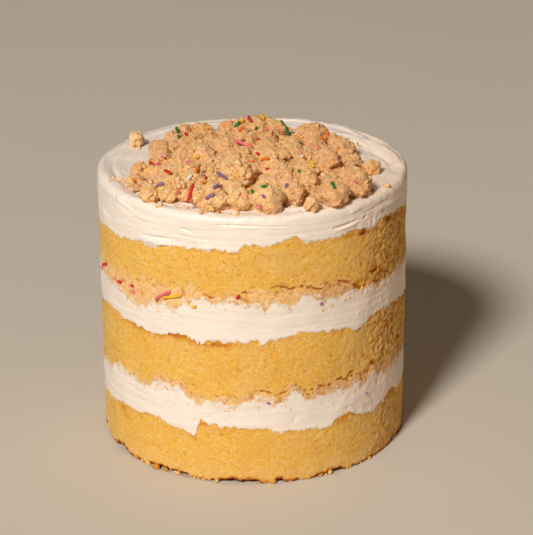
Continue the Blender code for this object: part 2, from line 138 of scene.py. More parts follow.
# Marks on the frosted top, in the same terms as SIDE_MARKS but with radii for heights
TOP_MARKS = (
    (-98, 68.4, -36, 66.8, -0.9, 1.2), (-110, 73.0, -66, 72.4, 0.6, 0.9), (76, 70.2, 136, 57.0, -1.1, 1.3),
    (84, 73.0, 140, 62.0, 0.9, 1.2), (136, 66.0, 200, 61.0, -0.6, 1.1), (150, 71.5, 215, 72.5, 0.6, 0.8),
    (205, 66.0, 262, 69.5, -0.7, 1.0), (-60, 72.6, 0, 72.0, 0.35, 0.8), (10, 72.6, 70, 72.4, 0.4, 0.8),
    (24, 69.0, 66, 69.5, -0.45, 0.8), (10.0, 68.0, 21.0, 70.0, 1.5, 0.8), (-34, 62.5, -14, 66.0, 0.6, 0.9),
    (88, 69.0, 112, 59.0, -1.6, 0.9),
)

# Lobes and bays of the seams, from the lowest seam up, most of them smaller than the steps of the solids:
# azimuth, half width in degrees, and rise of the seam in millimetres
BOTTOM_LOBES = (
    (-62, 4, -1.4), (-25, 1.5, 1.4), (-22, 1.3, -1.6), (-19.6, 1.2, 2.3), (-10, 2.0, -1.4),
    (-2, 1.5, -1.2), (20, 4, -1.5), (38, 3.5, 2.0), (54, 3.0, 1.6),
)
LOWER_LOBES = (
    (-30, 7, -1.5), (-7, 2, -1.8), (-12.5, 2, 1.3), (8, 1.8, 1.8), (24, 2.5, -1.6), (37, 7, -1.9),
    (45, 2.5, -2.4), (55, 4, -2.6),
)
MIDDLE_LOBES = ((-44, 2, 1.5), (-14.5, 4.5, 1.9), (-34, 1.5, -1.0), (6, 4, -1.0), (36.5, 2, 1.6))
UPPER_LOBES = (
    (-46, 1.5, -2.0), (-38, 3, 1.8), (-29, 2, -2.8), (-22, 2, -1.8), (-16.2, 1.8, 2.4), (-2, 3, -1.4),
    (4.6, 1.5, -1.8), (8, 1.5, 1.3), (14.2, 1.6, -3.0), (22, 2.5, 2.4), (32, 4, -2.4), (51, 4.5, -3.0),
)
OVER_CRUMBS_LOBES = ((54, 15, -7.5),)
TOP_LOBES = (
    (-55, 3.5, -1.8), (-38, 3.5, -1.6), (-17, 1, -0.8), (-3.2, 1.2, 1.9), (31.5, 3, -1.2),
    (52, 1.6, 1.1), (58, 3, 0.8),
)

# The least height of each band of crumbs
LEAST_LOWER_CRUMBS = 0.7 * MM
LEAST_UPPER_CRUMBS = 0.9 * MM

# Baked skin that shows on the side of the sponge: azimuth, height, half width, half height and strength
SKIN_PATCHES = (
    (-30, 74.2, 7.0, 1.6, 0.6), (-12.5, 72.6, 6.0, 1.5, 0.65), (12, 75.5, 7.0, 0.9, 0.3),
    (34, 76, 9, 1.6, 0.35), (34, 28.6, 6.0, 2.6, 0.65), (40, 29.6, 4.0, 1.2, 0.6),
    (56, 29.0, 4.0, 2.4, 0.7), (-58, 23.5, 2.4, 2.6, 0.8), (-54, 20.5, 3.0, 1.4, 0.4),
    (43.2, 122.0, 2.0, 1.4, 2.6), (37, 122.6, 5.0, 1.4, 0.6), (58, 122.5, 3.0, 1.6, 2.2),
    (50.2, 100.2, 2.8, 1.8, 2.6), (54, 97.6, 2.6, 1.2, 1.4), (-50, 72.5, 9, 2.6, 0.3),
    (-18.5, 30.8, 2.4, 1.0, 0.55), (64, 28, 4, 2.2, 0.6), (-77, 72, 6, 2.5, 0.3),
    (60, 78, 5, 2.0, 0.35), (65, 121.0, 3.0, 1.6, 1.0), (41, 98.0, 4.0, 1.0, 0.9),
    (62, 99, 3.5, 1.2, 0.9), (46, 106, 3, 2.0, 0.3), (34, 97.5, 3.0, 0.8, 0.5),
)

# Sugar strands on the heap as the camera sees them: the places of both ends in an image of this size
IMAGE_SIZE = (533, 535)
HEAP_STRANDS = {
    "green": (
        (176, 129, 178, 133), (177, 136, 180, 139), (234, 128, 240, 122), (255, 130, 258, 127.5),
        (284, 127, 290, 135), (280, 121, 283, 124), (298, 170, 301, 174), (261.5, 188.5, 267, 186.5),
        (252.5, 191.5, 255, 194), (332.5, 184, 335, 188),
    ),
    "red": (
        (184.5, 132.5, 188, 136), (248.5, 116, 253.5, 124), (150, 163, 153, 166.5), (166, 172.5, 173, 176.5),
        (194, 186, 187, 203.5), (205, 180.5, 207.5, 178), (257, 140, 260, 141), (256.5, 152.5, 259.5, 155),
        (265.5, 168.5, 269, 170.5),
    ),
    "pink": (
        (234, 142, 251, 151.5), (155.5, 167.5, 161, 162), (162.5, 156.5, 165, 158), (186, 162, 190, 163.5),
        (176.5, 191.5, 179.5, 192.5), (264.5, 129.5, 268, 132), (317, 148, 320, 150), (259, 206, 262, 207.5),
        (354.5, 181, 357, 183.5),
    ),
    "orange": (
        (238, 131.5, 244, 128), (195.5, 173, 199.5, 164.5), (132.5, 179.5, 135, 182.5),
        (200.5, 182.5, 203.5, 184), (215, 211, 220, 209.5), (250, 162, 254, 162), (260, 159, 271, 161),
        (318.5, 137.5, 332, 144), (326, 131.5, 328.5, 139),
    ),
    "yellow": (
        (205, 128, 208.5, 129.5), (240.5, 123, 243.5, 120), (195, 155.5, 199.5, 158),
        (261, 115.5, 263.5, 120), (308, 162, 314, 167.5),
    ),
    "purple": (
        (156.5, 184.5, 163.5, 184.5), (218, 173, 228, 179.5), (212.5, 188.5, 218, 186), (205, 199, 215, 195),
        (285.5, 188.5, 288.5, 184), (262.5, 195.5, 265, 197.5),
    ),
    "white": ((184.5, 182, 190, 177), (300, 158, 304, 156)),
}
LONGEST_STRAND = 10 * MM
SHORTEST_STRAND = 2.2 * MM

# Strands on the far side of the heap: x, y and length in millimetres, and heading in degrees from +X
FAR_STRANDS = {
    "green": ((-28, 40, 5, 30), (24, 31, 6, 150)), "red": ((28, 34, 5, 10), (-12, 38, 6, 80)),
    "pink": ((-17, 41, 7, 140), (6, 37, 4, 20)), "orange": ((11, 37, 6, 95), (-36, 37, 4, 10)),
    "yellow": ((17, 34, 5, 60), (-6, 40, 5, 100)), "purple": ((-2, 41, 5, 30), (36, 30, 5, 60)),
}

# Strands in the side, most of them in the upper crumbs: azimuth, height and length in millimetres, and slope
# in degrees
SIDE_STRANDS = {
    "red": (
        (-70.5, 94.6, 8.0, 24), (-56.5, 92.2, 3.6, 14), (-49, 93.2, 2.4, 10), (-5, 98.2, 2.6, 60),
        (143, 95, 5, 20),
    ),
    "pink": ((-33.6, 93.9, 11.4, 34), (-48.4, 90.6, 2.4, -40), (-75, 90.5, 2.6, 30), (208, 94, 7, -15)),
    "yellow": ((-29.6, 94.6, 11.0, 17), (-21, 91.4, 3.0, 12), (43, 93.4, 2.2, 70), (172, 94, 6, 35)),
    "purple": ((25, 91.6, 1.8, 20), (5.5, 43.2, 1.6, 0), (45.5, 37.6, 1.6, 30), (120, 93, 5, 10)),
    "orange": ((106, 95, 6, -20), (250, 94, 5, 15)),
    "green": ((187, 93, 4, 5), (262, 94.5, 4, 40)),
}

# The form of a strand. A short bit is thinner, by this share of its length.
STRAND_RADIUS = 0.78 * MM
SHORT_STRAND_SHARE = 0.3
STRAND_SIDES = 12
STRAND_END_ANGLES = np.radians((20, 50, 90))
STRAND_MIDDLE_RINGS = 2
STRAND_BEND = 0.05
STRAND_SWELLING = (0.92, 1.06)
STRAND_SUNK = 0.2 * MM

# How a strand rests: where along it bumps are looked for, how far off, how much they count, and how high it
# sits on them
REST_PLACES = (-0.45, -0.2, 0, 0.2, 0.45)
REST_REACH = 4 * MM
REST_RANGE = 1.5 * MM
REST_SHARE = 0.85

# Dustings of crumbs on the frosting: x, y and spread in millimetres, and how many
DUSTINGS = (
    (-64, -25, 3.5, 46), (-59, -32, 3.5, 34), (-56, -8, 3.5, 20), (-43, -58, 3.0, 30), (-33, -65, 3.0, 26),
    (-21, -69, 3.0, 26), (-8, -71, 3.0, 16), (65, -34, 2.6, 34), (58, -42, 3.0, 16), (20, -64, 3.5, 26),
    (-58, 27, 3.0, 14), (-50, 26, 5.0, 14), (50, 24, 4.0, 14), (10, 47, 5.0, 18), (-30, 44, 4.0, 14),
)

# Large clumps of the heap as the camera sees them: the place of the middle in an image of IMAGE_SIZE, and the
# width and height in millimetres
HEAP_CLUMPS = (
    (183.5, 132, 7.5, 7), (200.5, 131, 9, 6.5), (226.5, 128, 7.5, 7), (249, 128, 13, 9), (271, 130, 13, 8),
    (313, 136, 15, 9), (336.5, 142.5, 8, 6.5), (346, 150, 9, 7), (170, 148, 9.5, 6), (185.5, 149, 7, 7),
    (201, 150, 9.5, 6.5), (234.5, 177, 19.5, 15.5), (211, 198, 16.5, 13), (240, 202, 9, 7),
    (268.5, 200, 12.5, 13.5), (293, 192.5, 9.5, 10), (335, 194, 14, 11), (358.5, 184.5, 12.5, 11),
    (149, 194.5, 9, 7.5), (167, 192.5, 8, 7), (139, 184, 7, 5.5), (267, 155.5, 15, 8), (303, 174, 10, 8),
    (296, 157, 8, 6), (328, 161, 9, 7.5), (156, 172, 8, 5.5), (181, 178, 9, 6), (346, 163, 6, 5),
)

# How far behind the place where it is seen the middle of a clump lies, as a share of its half width
CLUMP_DEPTH = 0.9

# Fineness of the meshes of the heap and of the single crumbs, and how far they are softened
HEAP_VOXEL = 0.6 * MM
LOOSE_VOXEL = 0.35 * MM
LIGHT_SOFTENING = 2
BROAD_SOFTENING = 60

# Single crumbs beside the heap: how bright each is, and how lumpy they are
FALLEN_CRUMBS = (("back", 0.4), ("right", 0.0), ("front", 0.1))
FALLEN_LUMPINESS = 0.7

# Small crumbs and grains over the heap: how many there are and their sizes, and the ranges of how bright and
# how dark they are. A higher bias leaves fewer large ones. The middle of a crumb stands off the surface by a
# share of its width.
CRUMB_COUNT = 650
CRUMB_SIZES = (0.9 * MM, 3.4 * MM)
GRAIN_COUNT = 19600
GRAIN_SIZES = (0.45 * MM, 1.15 * MM)
GRAIN_BRIGHTNESS = (-1.2, 0.5)
CRUMB_DARKNESS = (0, 0.3)
CRUMB_SIZE_BIAS = 2.2
HEAP_CRUMB_RISE = 0.05

# The share of them that has fallen from above, on the tops and on the frosting round the heap, how far out
# these reach, and how soon they thin out from its edge
FALLEN_SHARE = 0.3
SCATTER_REACH = 70 * MM
DUST_FADE = 1.6 * MM

# Crumbs of the dustings: how bright, how small and how far raised they are, how close they keep to the middle
# of their dusting, how far they keep from the edge of the cake, and the share of the counts in DUSTINGS that
# there is of either kind
DUST_BRIGHTNESS = (0.0, 1.0)
DUST_SIZE_BIAS = 4
DUST_RISE = 0.2
DUST_CLOSENESS = 1.4
DUST_MARGIN = 2 * MM
DUST_CRUMB_SHARE = 0.3
DUST_GRAIN_SHARE = 1.0

# Crumbs of middling size at the foot of the heap. Heights and depths are shares of a crumb's width.
EDGE_CRUMB_COUNT = 72
EDGE_CRUMB_SIZES = (1.4 * MM, 4.2 * MM)
EDGE_CRUMB_HEIGHTS = (0.3, 0.75)
EDGE_CRUMB_SUNK = 0.1

# Clusters of crumbs pressed into the frosting below the crumb layers: azimuth, half width and how many
SPECK_CLUSTERS = (
    (-62, 10, 10), (-38, 9, 18), (-22, 5, 7), (-10, 6, 14), (4, 7, 22), (14, 5, 12), (28, 6, 10), (40, 6, 8),
    (56, 8, 10), (90, 14, 14), (130, 14, 14), (170, 14, 14), (210, 14, 14), (250, 14, 14),
)
SPECK_SIZES = (0.6 * MM, 2.2 * MM)
SPECK_SIZE_BIAS = 2
SPECK_SUNK = 0.36
SPECK_FADE = 2.3 * MM
SPECK_DARKNESS = (0.0, 0.25)
SPECK_BRIGHTNESS = (-0.5, 0.5)

# Bits of sponge at the foot of the cake: how high up its side they are placed from, and how far out from the
# side and over the floor their middles are, as shares of their widths
BASE_CRUMB_COUNT = 120
BASE_CRUMB_SIZES = (0.7 * MM, 3.2 * MM)
BASE_CRUMB_SIZE_BIAS = 2
BASE_CRUMB_LEVEL = 3 * MM
BASE_CRUMB_OUT = (-0.5, -0.1)
BASE_CRUMB_HEIGHT = 0.3
BASE_CRUMB_PALENESS = (0.6, 1.3)
BASE_CRUMB_SKIN = (-1.4, 0.8)

# Open sponge is a little wider than high in its grain. The grain and what is torn have these sizes. The grain
# stands out more in coarse sponge, and only coarse sponge is torn. Both are in millimetres.
LEVEL_STRETCH = np.array((0.7, 0.7, 1.15))
GRAIN_SIZE = 1.5 * MM
TORN_SIZE = 1.6 * MM
GRAIN_RELIEF = 0.1
COARSE_GRAIN_RELIEF = 0.28
TORN_RELIEF = 0.2

# Pores of the sponge: size of the cells they lie in, seed, the share of the cells that has one, its depth in
# smooth sponge and what coarse sponge adds to that, and how much it counts in the relief and in the painted
# shade
SPONGE_PORES = (
    (5.5 * MM, 210, 0.06, 0.4, 0.7, 0.9, 0.9),
    (2.8 * MM, 214, 0.18, 0.4, 0.8, 0.65, 0.9),
    (1.5 * MM, 218, 0.42, 0.5, 0.6, 0.4, 0.65),
)

# How far the middle of each relief lies under the side of the solids, in millimetres
SPONGE_SUNK = 0.45
CREAM_SUNK = 0.15
CRUMBS_SUNK = 0.45

# How deep a crack is, and how far the whole side swells in and out, with swells of this size
CRACK_DEPTH = 0.5 * MM
SIDE_SWELL = 0.35 * MM
SIDE_SWELL_SIZE = 10 * MM

# How coarse the sponge is in the lowest layer, what the layers over it have more, and the heights that this
# changes between
LOW_COARSENESS = 0.5
ADDED_COARSENESS = 0.3
SMOOTH_BELOW = 32 * MM
COARSE_ABOVE = 42 * MM

# How the stuff on both sides of a seam runs together, for the stuff below and the stuff above: the width
# of the change and the size of its unevenness in millimetres, the strength of that, and its seed
SEAM_KINDS = {
    ("sponge", "cream"): (0.9, 1.8, 0.9, 31),
    ("cream", "crumbs"): (2.1, 2.0, 1.1, 41),
    ("crumbs", "sponge"): (3.0, 3.2, 0.9, 51),
}
RAGGED = 0.6
CRISP_SEAM = 0.08
SMEARED_SEAM = 0.3
SOFT_SEAM = 0.4

# Open cracks along the seam of crumbs and sponge: azimuth at both ends, height above the seam and half width
# in millimetres
UPPER_CRACKS = (
    (-18, -13, 0.2, 0.3), (-4, 0, 0.3, 0.3), (6, 14, 1.0, 0.4), (12, 22, 0.2, 0.75), (20, 27, -0.8, 0.45),
    (26, 36, 0.8, 0.55), (34, 42, -0.2, 0.6), (38, 49, 0.5, 0.8), (48, 62, 0.0, 0.9), (52, 60, 1.8, 0.6),
    (-48, -40, 0.4, 0.3), (100, 116, 0.3, 0.6), (160, 178, 0.2, 0.7), (235, 250, 0.3, 0.6),
)
LOWER_CRACKS = (
    (0, 6, 0.2, 0.5), (3, 11, 1.0, 0.4), (19, 31, 0.2, 0.7), (30, 38, 0.6, 0.5), (43, 54, 0.2, 0.9),
    (9, 15, 0.6, 0.4), (140, 158, 0.3, 0.7), (212, 226, 0.2, 0.6), (268, 280, 0.2, 0.5),
)
CRACK_PIT_REACH = 2.4 * MM
CRACK_PIT_SHARE = 0.75

# Colours of the sponge: its two main tones, orange clouds, pale places with a painted sheen at the far left,
# flecks, painted shade in small holes, pores and deep hollows, then its baked skin and painted shade in its
# cracks
SPONGE_TONES = ((0.82, 0.468, 0.078), (0.84, 0.52, 0.115))
SPONGE_CLOUD = (0.81, 0.425, 0.058)
SPONGE_PALE_AND_SHEEN = (0.78, 0.52, 0.20)
SPONGE_DEEP_FLECK = (0.87, 0.44, 0.03)
SPONGE_PALE_FLECK = (0.88, 0.58, 0.24)
SPONGE_HOLE_SHADE = (0.72, 0.27, 0.016)
SPONGE_PORE_SHADE = (0.64, 0.22, 0.012)
SPONGE_DEEP_SHADE = (0.32, 0.12, 0.02)
THIN_SKIN = (0.68, 0.27, 0.03)
THICK_SKIN = (0.30, 0.075, 0.012)
CRACK_SHADE = (0.46, 0.13, 0.015)

# Colours of the frosting: its two main tones, clouds, a warmer painted shade on its right side and crumbs
# smeared into it
CREAM_TONES = ((0.94, 0.83, 0.73), (0.95, 0.845, 0.75))
CREAM_CLOUD = (0.92, 0.79, 0.67)
CREAM_PAINTED_SHADE = (0.94, 0.76, 0.61)
CREAM_STAIN = (0.80, 0.54, 0.35)

# Colours of the crumbs. The last is painted shade in hollows and creases, and a darker tone of some single
# crumbs.
CRUMB_GOLDEN = ((0.85, 0.52, 0.225), (0.93, 0.62, 0.275))
CRUMB_PINK = (0.83, 0.49, 0.27)
CRUMB_PRESSED = (0.86, 0.52, 0.225)
CRUMB_BACK_RIGHT_TONE = (0.735, 0.405, 0.19)
CRUMB_DEEP_SAND = (0.84, 0.40, 0.07)
CRUMB_PALE_SAND = (0.93, 0.67, 0.45)
CRUMB_BRIGHT = (0.95, 0.77, 0.50)
CRUMB_BROWN = (0.80, 0.38, 0.20)
CRUMB_SHADE_AND_DARK_TONE = (0.60, 0.22, 0.03)

# How far light goes into the large clumps, as a share
CLUMP_GLOW = 0.6

# Colours of the sugar strands, of the dust on them, and how dark and how dusty they are in places
STRAND_COLOURS = {
    "green": (0.015, 0.21, 0.018), "red": (0.72, 0.025, 0.02), "pink": (0.90, 0.19, 0.22),
    "orange": (0.92, 0.20, 0.012), "yellow": (0.92, 0.55, 0.03), "purple": (0.29, 0.155, 0.34),
    "white": (0.92, 0.84, 0.74),
}
STRAND_DUST = (0.9, 0.6, 0.3)
STRAND_DUST_SHARE = 0.25
STRAND_SHADE = 0.8

# The floor
FLOOR_RADIUS = 6
FLOOR_SIDES = 64
FLOOR_CLOUD_SIZE = 0.4
FLOOR_TONES = ((0.63, 0.565, 0.475), (0.65, 0.585, 0.495))

# Lights: name, azimuth, elevation, distance, size, watts and colour
LIGHTS = (
    ("key", -25, 40, 6.0, 1.2, 355, (1.0, 0.965, 0.92)),
    ("fill", 40, 24, 4.0, 2.5, 6.0, (1.0, 0.55, 0.25)),
    ("back", 170, 35, 6.0, 3.0, 25, (1.0, 0.95, 0.88)),
)
SURROUND_COLOUR = (1.0, 0.70, 0.42, 1.0)
SURROUND_STRENGTH = 0.07


# Repeatable unevenness

TILT = np.array(Quaternion((0.8, 0.35, -0.42, 0.25)).normalized().to_matrix())
HASH_FACTORS = (374761393, 668265263, 1442695041, 974634777)
HASH_STIR = 1274126177
WORD = 0xFFFFFFFF
FRACTION = 0xFFFFFF


def hashed(cell, seed):
    """A repeatable random number from 0 to 1 for each whole-number cell."""
    mixed = sum(cell[..., axis] * HASH_FACTORS[axis] for axis in range(3)) + seed * HASH_FACTORS[3]
    mixed = mixed & WORD
    mixed = ((mixed ^ (mixed >> 13)) * HASH_STIR) & WORD
    return ((mixed ^ (mixed >> 15)) & FRACTION) / FRACTION


def smooth_noise(points, size, seed):
    """Smooth unevenness from -1 to 1, with lumps of about this size."""
    place = points @ TILT / size
    cell = np.floor(place).astype(np.int64)
    inside = place - cell
    inside = inside ** 3 * (inside * (inside * 6 - 15) + 10)
    total = np.zeros(points.shape[:-1])
    for corner in itertools.product((0, 1), repeat=3):
        weight = np.prod(np.where(corner, inside, 1 - inside), axis=-1)
        total += weight * hashed(cell + corner, seed)
    return total * 2 - 1


def layered(points, size, seed, octaves=3):
    """Unevenness made of several sizes, each half the size and half the strength of the last."""
    return sum(smooth_noise(points, size / 2 ** k, seed + k) / 2 ** k for k in range(octaves))


def near_cells(points, size, seed):
    """For each neighbouring cell: the distance to its own random spot, in cells, and its random number."""
    place = points @ TILT / size
    cell = np.floor(place).astype(np.int64)
    for step in itertools.product((-1, 0, 1), repeat=3):
        corner = cell + step
        spot = corner + np.stack([hashed(corner, seed + axis) for axis in range(3)], -1)
        yield np.linalg.norm(place - spot, axis=-1), hashed(corner, seed + 3)


def pebbles(points, size, seed):
    """Rounded lumps packed together: near 1 at the top of each, and low in the creases between them."""
    nearest = np.full(points.shape[:-1], 9.0)
    for away, _ in near_cells(points, size, seed):
        nearest = np.minimum(nearest, away)
    return 1 - np.minimum(nearest, 1) ** 2


def pits(points, size, seed, share):
    """Round hollows of different widths in this share of the cells: 1 at the bottom of each, 0 between."""
    deepest = np.zeros(points.shape[:-1])
    for away, chance in near_cells(points, size, seed):
        width = 0.22 + 0.3 * ((chance * 7) % 1)
        deepest = np.maximum(deepest, np.where(chance < share, 1 - (away / width) ** 2, 0))
    return deepest


def eased(values, low, high):
    """0 below the low value, 1 above the high one, and smooth between."""
    share = np.clip((values - low) / (high - low), 0, 1)
    return share * share * (3 - 2 * share)


# Meshes

def points_of(mesh, key="co"):
    """The places or the normals of a mesh's points."""
    flat = np.empty(len(mesh.vertices) * 3)
    mesh.vertices.foreach_get(key, flat)
    return flat.reshape(-1, 3)


def faces_of(mesh):
    """The points of each face of a mesh."""
    return [tuple(face.vertices) for face in mesh.polygons]


def tree_over(piece):
    """A solid or a piece as a target for rays."""
    return BVHTree.FromPolygons(points_of(piece.data).tolist(), faces_of(piece.data))


# Turned surfaces

AZIMUTHS = np.arange(COLUMNS) * 360 / COLUMNS
SINES = np.sin(np.radians(AZIMUTHS))
COSINES = np.cos(np.radians(AZIMUTHS))


def around(radius, height):
    """Points at every azimuth, for a radius and a height or for grids of them."""
    radius, height, _ = np.broadcast_arrays(radius, height, SINES)
    return np.stack([radius * SINES, -radius * COSINES, height], -1)


def turned_from(azimuth):
    """Degrees from an azimuth to every column, from -180 to 180."""
    return (AZIMUTHS - azimuth + 180) % 360 - 180


def rim(node, pick):
    """Height of the lowest or highest point of a solid's edge, eased from its own steps to every column."""
    points = points_of(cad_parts[node].data)
    outer = np.hypot(points[:, 0], points[:, 1]) > EDGE_RADIUS
    turn = np.degrees(np.arctan2(points[:, 0], -points[:, 1]))
    step = np.round(turn * RIM_STEPS / 360).astype(int) % RIM_STEPS
    heights = [pick(points[outer & (step == k), 2]) for k in range(RIM_STEPS)]
    return np.fft.irfft(np.fft.rfft(heights), COLUMNS) * COLUMNS / RIM_STEPS


def with_lobes(edge, rows):
    """An edge with single lobes and bays in it."""
    return edge + sum(rise * MM * np.exp(-(turned_from(azimuth) / half) ** 2) for azimuth, half, rise in rows)


def scalloped(edge, seed):
    """An edge of frosting: small lobes that hang down with fine teeth, deep in some stretches only."""
    place = around(CAKE_RADIUS, 0.0)
    strength = MM * (0.45 + 1.2 * eased(smooth_noise(place, 20 * MM, seed), -0.5, 0.6))
    wide = np.abs(smooth_noise(place, 4.2 * MM, seed + 1))
    narrow = np.abs(smooth_noise(place, 1.9 * MM, seed + 2))
    lobes = wide + 0.7 * narrow
    toothed = eased(smooth_noise(place, 9 * MM, seed + 4), -0.6, 0.5)
    teeth = 0.5 * MM * smooth_noise(place, 1.0 * MM, seed + 3) * toothed
    return edge + strength * (0.5 - lobes) + teeth


def crumbled(edge, seed, strength):
    """An edge of crumbs: rounded lumps hang down, and it is uneven at the size of single crumbs."""
    place = around(CAKE_RADIUS, 0.0)
    lumps = 0.5 - 1.3 * np.abs(smooth_noise(place, 5.5 * MM, seed + 3))
    lumps = lumps + 0.6 * smooth_noise(place, 2.6 * MM, seed)
    return edge + strength * (lumps + 0.5 * smooth_noise(place, 1.2 * MM, seed + 1))


def rows_between(low, high, rows):
    """Heights from one seam to the next, with the rows closer together near both."""
    share = np.linspace(0, 1, rows + 1)
    share = share - ROW_CROWDING * np.sin(2 * np.pi * share) / (2 * np.pi)
    return (low + SEAM_GAP / 2) + (high - low - SEAM_GAP) * share[:, None]


def tucked(distance, reach, depth):
    """How far a surface curves back towards an edge, from the distance to that edge."""
    near = np.clip(1 - distance / reach, 0, 1)
    return depth * (1 - np.sqrt(1 - near ** 2))


def marks(across, rows):
    """Relief of long marks. Each fades out at both ends."""
    total = np.zeros(across.shape)
    for start, low, end, high, rise, half in rows:
        share = turned_from(start) / (end - start)
        inside = np.clip(share, 0, 1)
        taper = np.where((share > 0) & (share < 1), np.sqrt(np.sin(np.pi * inside)), 0)
        middle = (low + (high - low) * inside) * MM
        total += rise * MM * taper * np.exp(-((across - middle) / (half * MM)) ** 2)
    return total


def swells(heights, rows):
    """Sum of soft patches: azimuth, height, half width in degrees, half height in millimetres, strength."""
    total = np.zeros(heights.shape)
    for azimuth, height, wide, tall, strength in rows:
        spread = (turned_from(azimuth) / wide) ** 2 + ((heights - height * MM) / (tall * MM)) ** 2
        total += strength * np.exp(-spread)
    return total


def add_piece(name, mesh, material, slot, *nodes):
    """A shown object that rides on the cake and stands for these nodes."""
    mesh.materials.append(material)
    mesh.shade_smooth()
    piece = bpy.data.objects.new(name, mesh)
    bpy.context.scene.collection.objects.link(piece)
    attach(piece, "root")
    if nodes:
        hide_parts(*nodes)
    return piece


def set_layer(mesh, name, values):
    """Keep one number for each point of a mesh, for its material to read."""
    layer = mesh.attributes.new(name, "FLOAT", "POINT")
    layer.data.foreach_set("value", np.ascontiguousarray(values, dtype=np.float32).ravel())


def turned_mesh(name, grid, bottom, top, **layers):
    """A closed mesh from rows of points round the axis, with one point on the axis below and one above.

    The edges where its side meets its bottom and top are sharp, so that the side's shading runs to its seams.
    """
    rows = len(grid)
    points = np.concatenate([grid.reshape(-1, 3), [(0, 0, bottom), (0, 0, top)]])
    index = np.arange(rows * COLUMNS).reshape(rows, COLUMNS)
    right = np.roll(index, -1, axis=1)
    low_pole = rows * COLUMNS
    quads = np.stack([index[:-1], right[:-1], right[1:], index[1:]], -1).reshape(-1, 4)
    under = [(low_pole, b, a) for a, b in zip(index[0].tolist(), right[0].tolist())]
    over = [(a, b, low_pole + 1) for a, b in zip(index[-1].tolist(), right[-1].tolist())]
    mesh = bpy.data.meshes.new(name)
    mesh.from_pydata(points.tolist(), [], quads.tolist() + under + over)
    ends = np.empty(len(mesh.edges) * 2, dtype=np.int32)
    mesh.edges.foreach_get("vertices", ends)
    row = ends.reshape(-1, 2) // COLUMNS
    on_rim = (row[:, 0] == row[:, 1]) & np.isin(row[:, 0], (0, rows - 1))
    mesh.attributes.new("sharp_edge", "BOOLEAN", "EDGE").data.foreach_set("value", on_rim)
    for layer, values in layers.items():
        set_layer(mesh, layer, np.append(values.ravel(), (0, 0)))
    return mesh


# Materials

class Look:
    """A material built up in small steps from noise in the object's own space."""

    def __init__(self, name, **constants):
        self.material = bpy.data.materials.new(name)
        self.material.use_nodes = True
        self.tree = self.material.node_tree
        self.shader = self.tree.nodes["Principled BSDF"]
        self.space = self.tree.nodes.new("ShaderNodeTexCoord").outputs["Object"]
        self.normal = None
        for socket, value in constants.items():
            self.shader.inputs[socket.replace("_", " ")].default_value = value

    def node(self, kind, inputs, **settings):
        """A new node. An input is a constant or another node's output."""
        made = self.tree.nodes.new("ShaderNode" + kind)
        for key, value in settings.items():
            setattr(made, key, value)
        for key, value in inputs.items():
            if isinstance(value, bpy.types.NodeSocket):
                self.tree.links.new(value, made.inputs[key])
            else:
                made.inputs[key].default_value = value
        return made

    def noise(self, size, low=0.3, high=0.7, detail=2.0, stretch=(1, 1, 1)):
        """Unevenness of this size in metres, spread so that low gives 0 and high gives 1."""
        place = self.node("Mapping", {"Vector": self.space, "Scale": stretch}).outputs["Vector"]
        made = self.node("TexNoise", {"Vector": place, "Scale": 1 / size, "Detail": detail})
        return self.spread(made.outputs["Fac"], low, high)

    def layer(self, name):
        """A number kept on the mesh's points."""
        return self.node("Attribute", {}, attribute_name=name).outputs["Fac"]

    def spread(self, value, low, high, start=0.0, end=1.0):
        """A value mapped from one range to another, and kept within it."""
        inputs = {"Value": value, "From Min": low, "From Max": high, "To Min": start, "To Max": end}
        return self.node("MapRange", inputs).outputs["Result"]

    def math(self, operation, first, second):
        """Two values, or a value and a number, put together."""
        return self.node("Math", {0: first, 1: second}, operation=operation).outputs["Value"]

    def along(self, axis, low, high):
        """How far along X, Y or Z a place is: 0 at the low one, 1 at the high one."""
        return self.spread(self.node("SeparateXYZ", {"Vector": self.space}).outputs[axis], low, high)

    def times(self, value, factor):
        """A value times a number or another value."""
        return self.math("MULTIPLY", value, factor)

    def holes(self, size, widest):
        """Small uneven holes about this far apart: 1 in the middle of each, 0 between them."""
        stirred = self.node("TexNoise", {"Vector": self.space, "Scale": 1 / size, "Detail": 1.0})
        shift = {0: stirred.outputs["Color"], "Scale": 0.5 * size}
        warped = self.node("VectorMath", shift, operation="SCALE")
        place = self.node("VectorMath", {0: self.space, 1: warped.outputs["Vector"]}, operation="ADD")
        cells = self.node("TexVoronoi", {"Vector": place.outputs["Vector"], "Scale": 1 / size})
        return self.spread(cells.outputs["Distance"], 0.1, widest, 1.0, 0.0)

    def seam(self, upper_share, softness):
        """How much of the stuff above a seam shows, with its edge made ragged by fine unevenness."""
        ragged = self.math("ADD", upper_share, self.times(self.noise(0.8 * MM, 0.3, 0.7), RAGGED))
        middle = (1 + RAGGED) / 2
        return self.spread(ragged, middle - softness, middle + softness)

    def blend(self, share, first, second):
        """From the first colour to the second."""
        inputs = {"Factor": share}
        for key, colour in (("A", first), ("B", second)):
            inputs[key] = colour if isinstance(colour, bpy.types.NodeSocket) else (*colour, 1.0)
        made = self.tree.nodes.new("ShaderNodeMix")
        made.data_type = "RGBA"
        sockets = {s.name: s for s in made.inputs if s.enabled}
        for key, value in inputs.items():
            if isinstance(value, bpy.types.NodeSocket):
                self.tree.links.new(value, sockets[key])
            else:
                sockets[key].default_value = value
        return next(s for s in made.outputs if s.enabled)

    def bump(self, height, depth, strength):
        """Fine relief on top of any before it."""
        inputs = {"Height": height, "Distance": depth, "Strength": strength}
        if self.normal is not None:
            inputs["Normal"] = self.normal
        self.normal = self.node("Bump", inputs).outputs["Normal"]

    def finish(self, colour, roughness=None):
        """Connect the colour, and the roughness where it varies."""
        self.tree.links.new(colour, self.shader.inputs["Base Color"])
        if roughness is not None:
            self.tree.links.new(roughness, self.shader.inputs["Roughness"])
        if self.normal is not None:
            self.tree.links.new(self.normal, self.shader.inputs["Normal"])
        return self.material


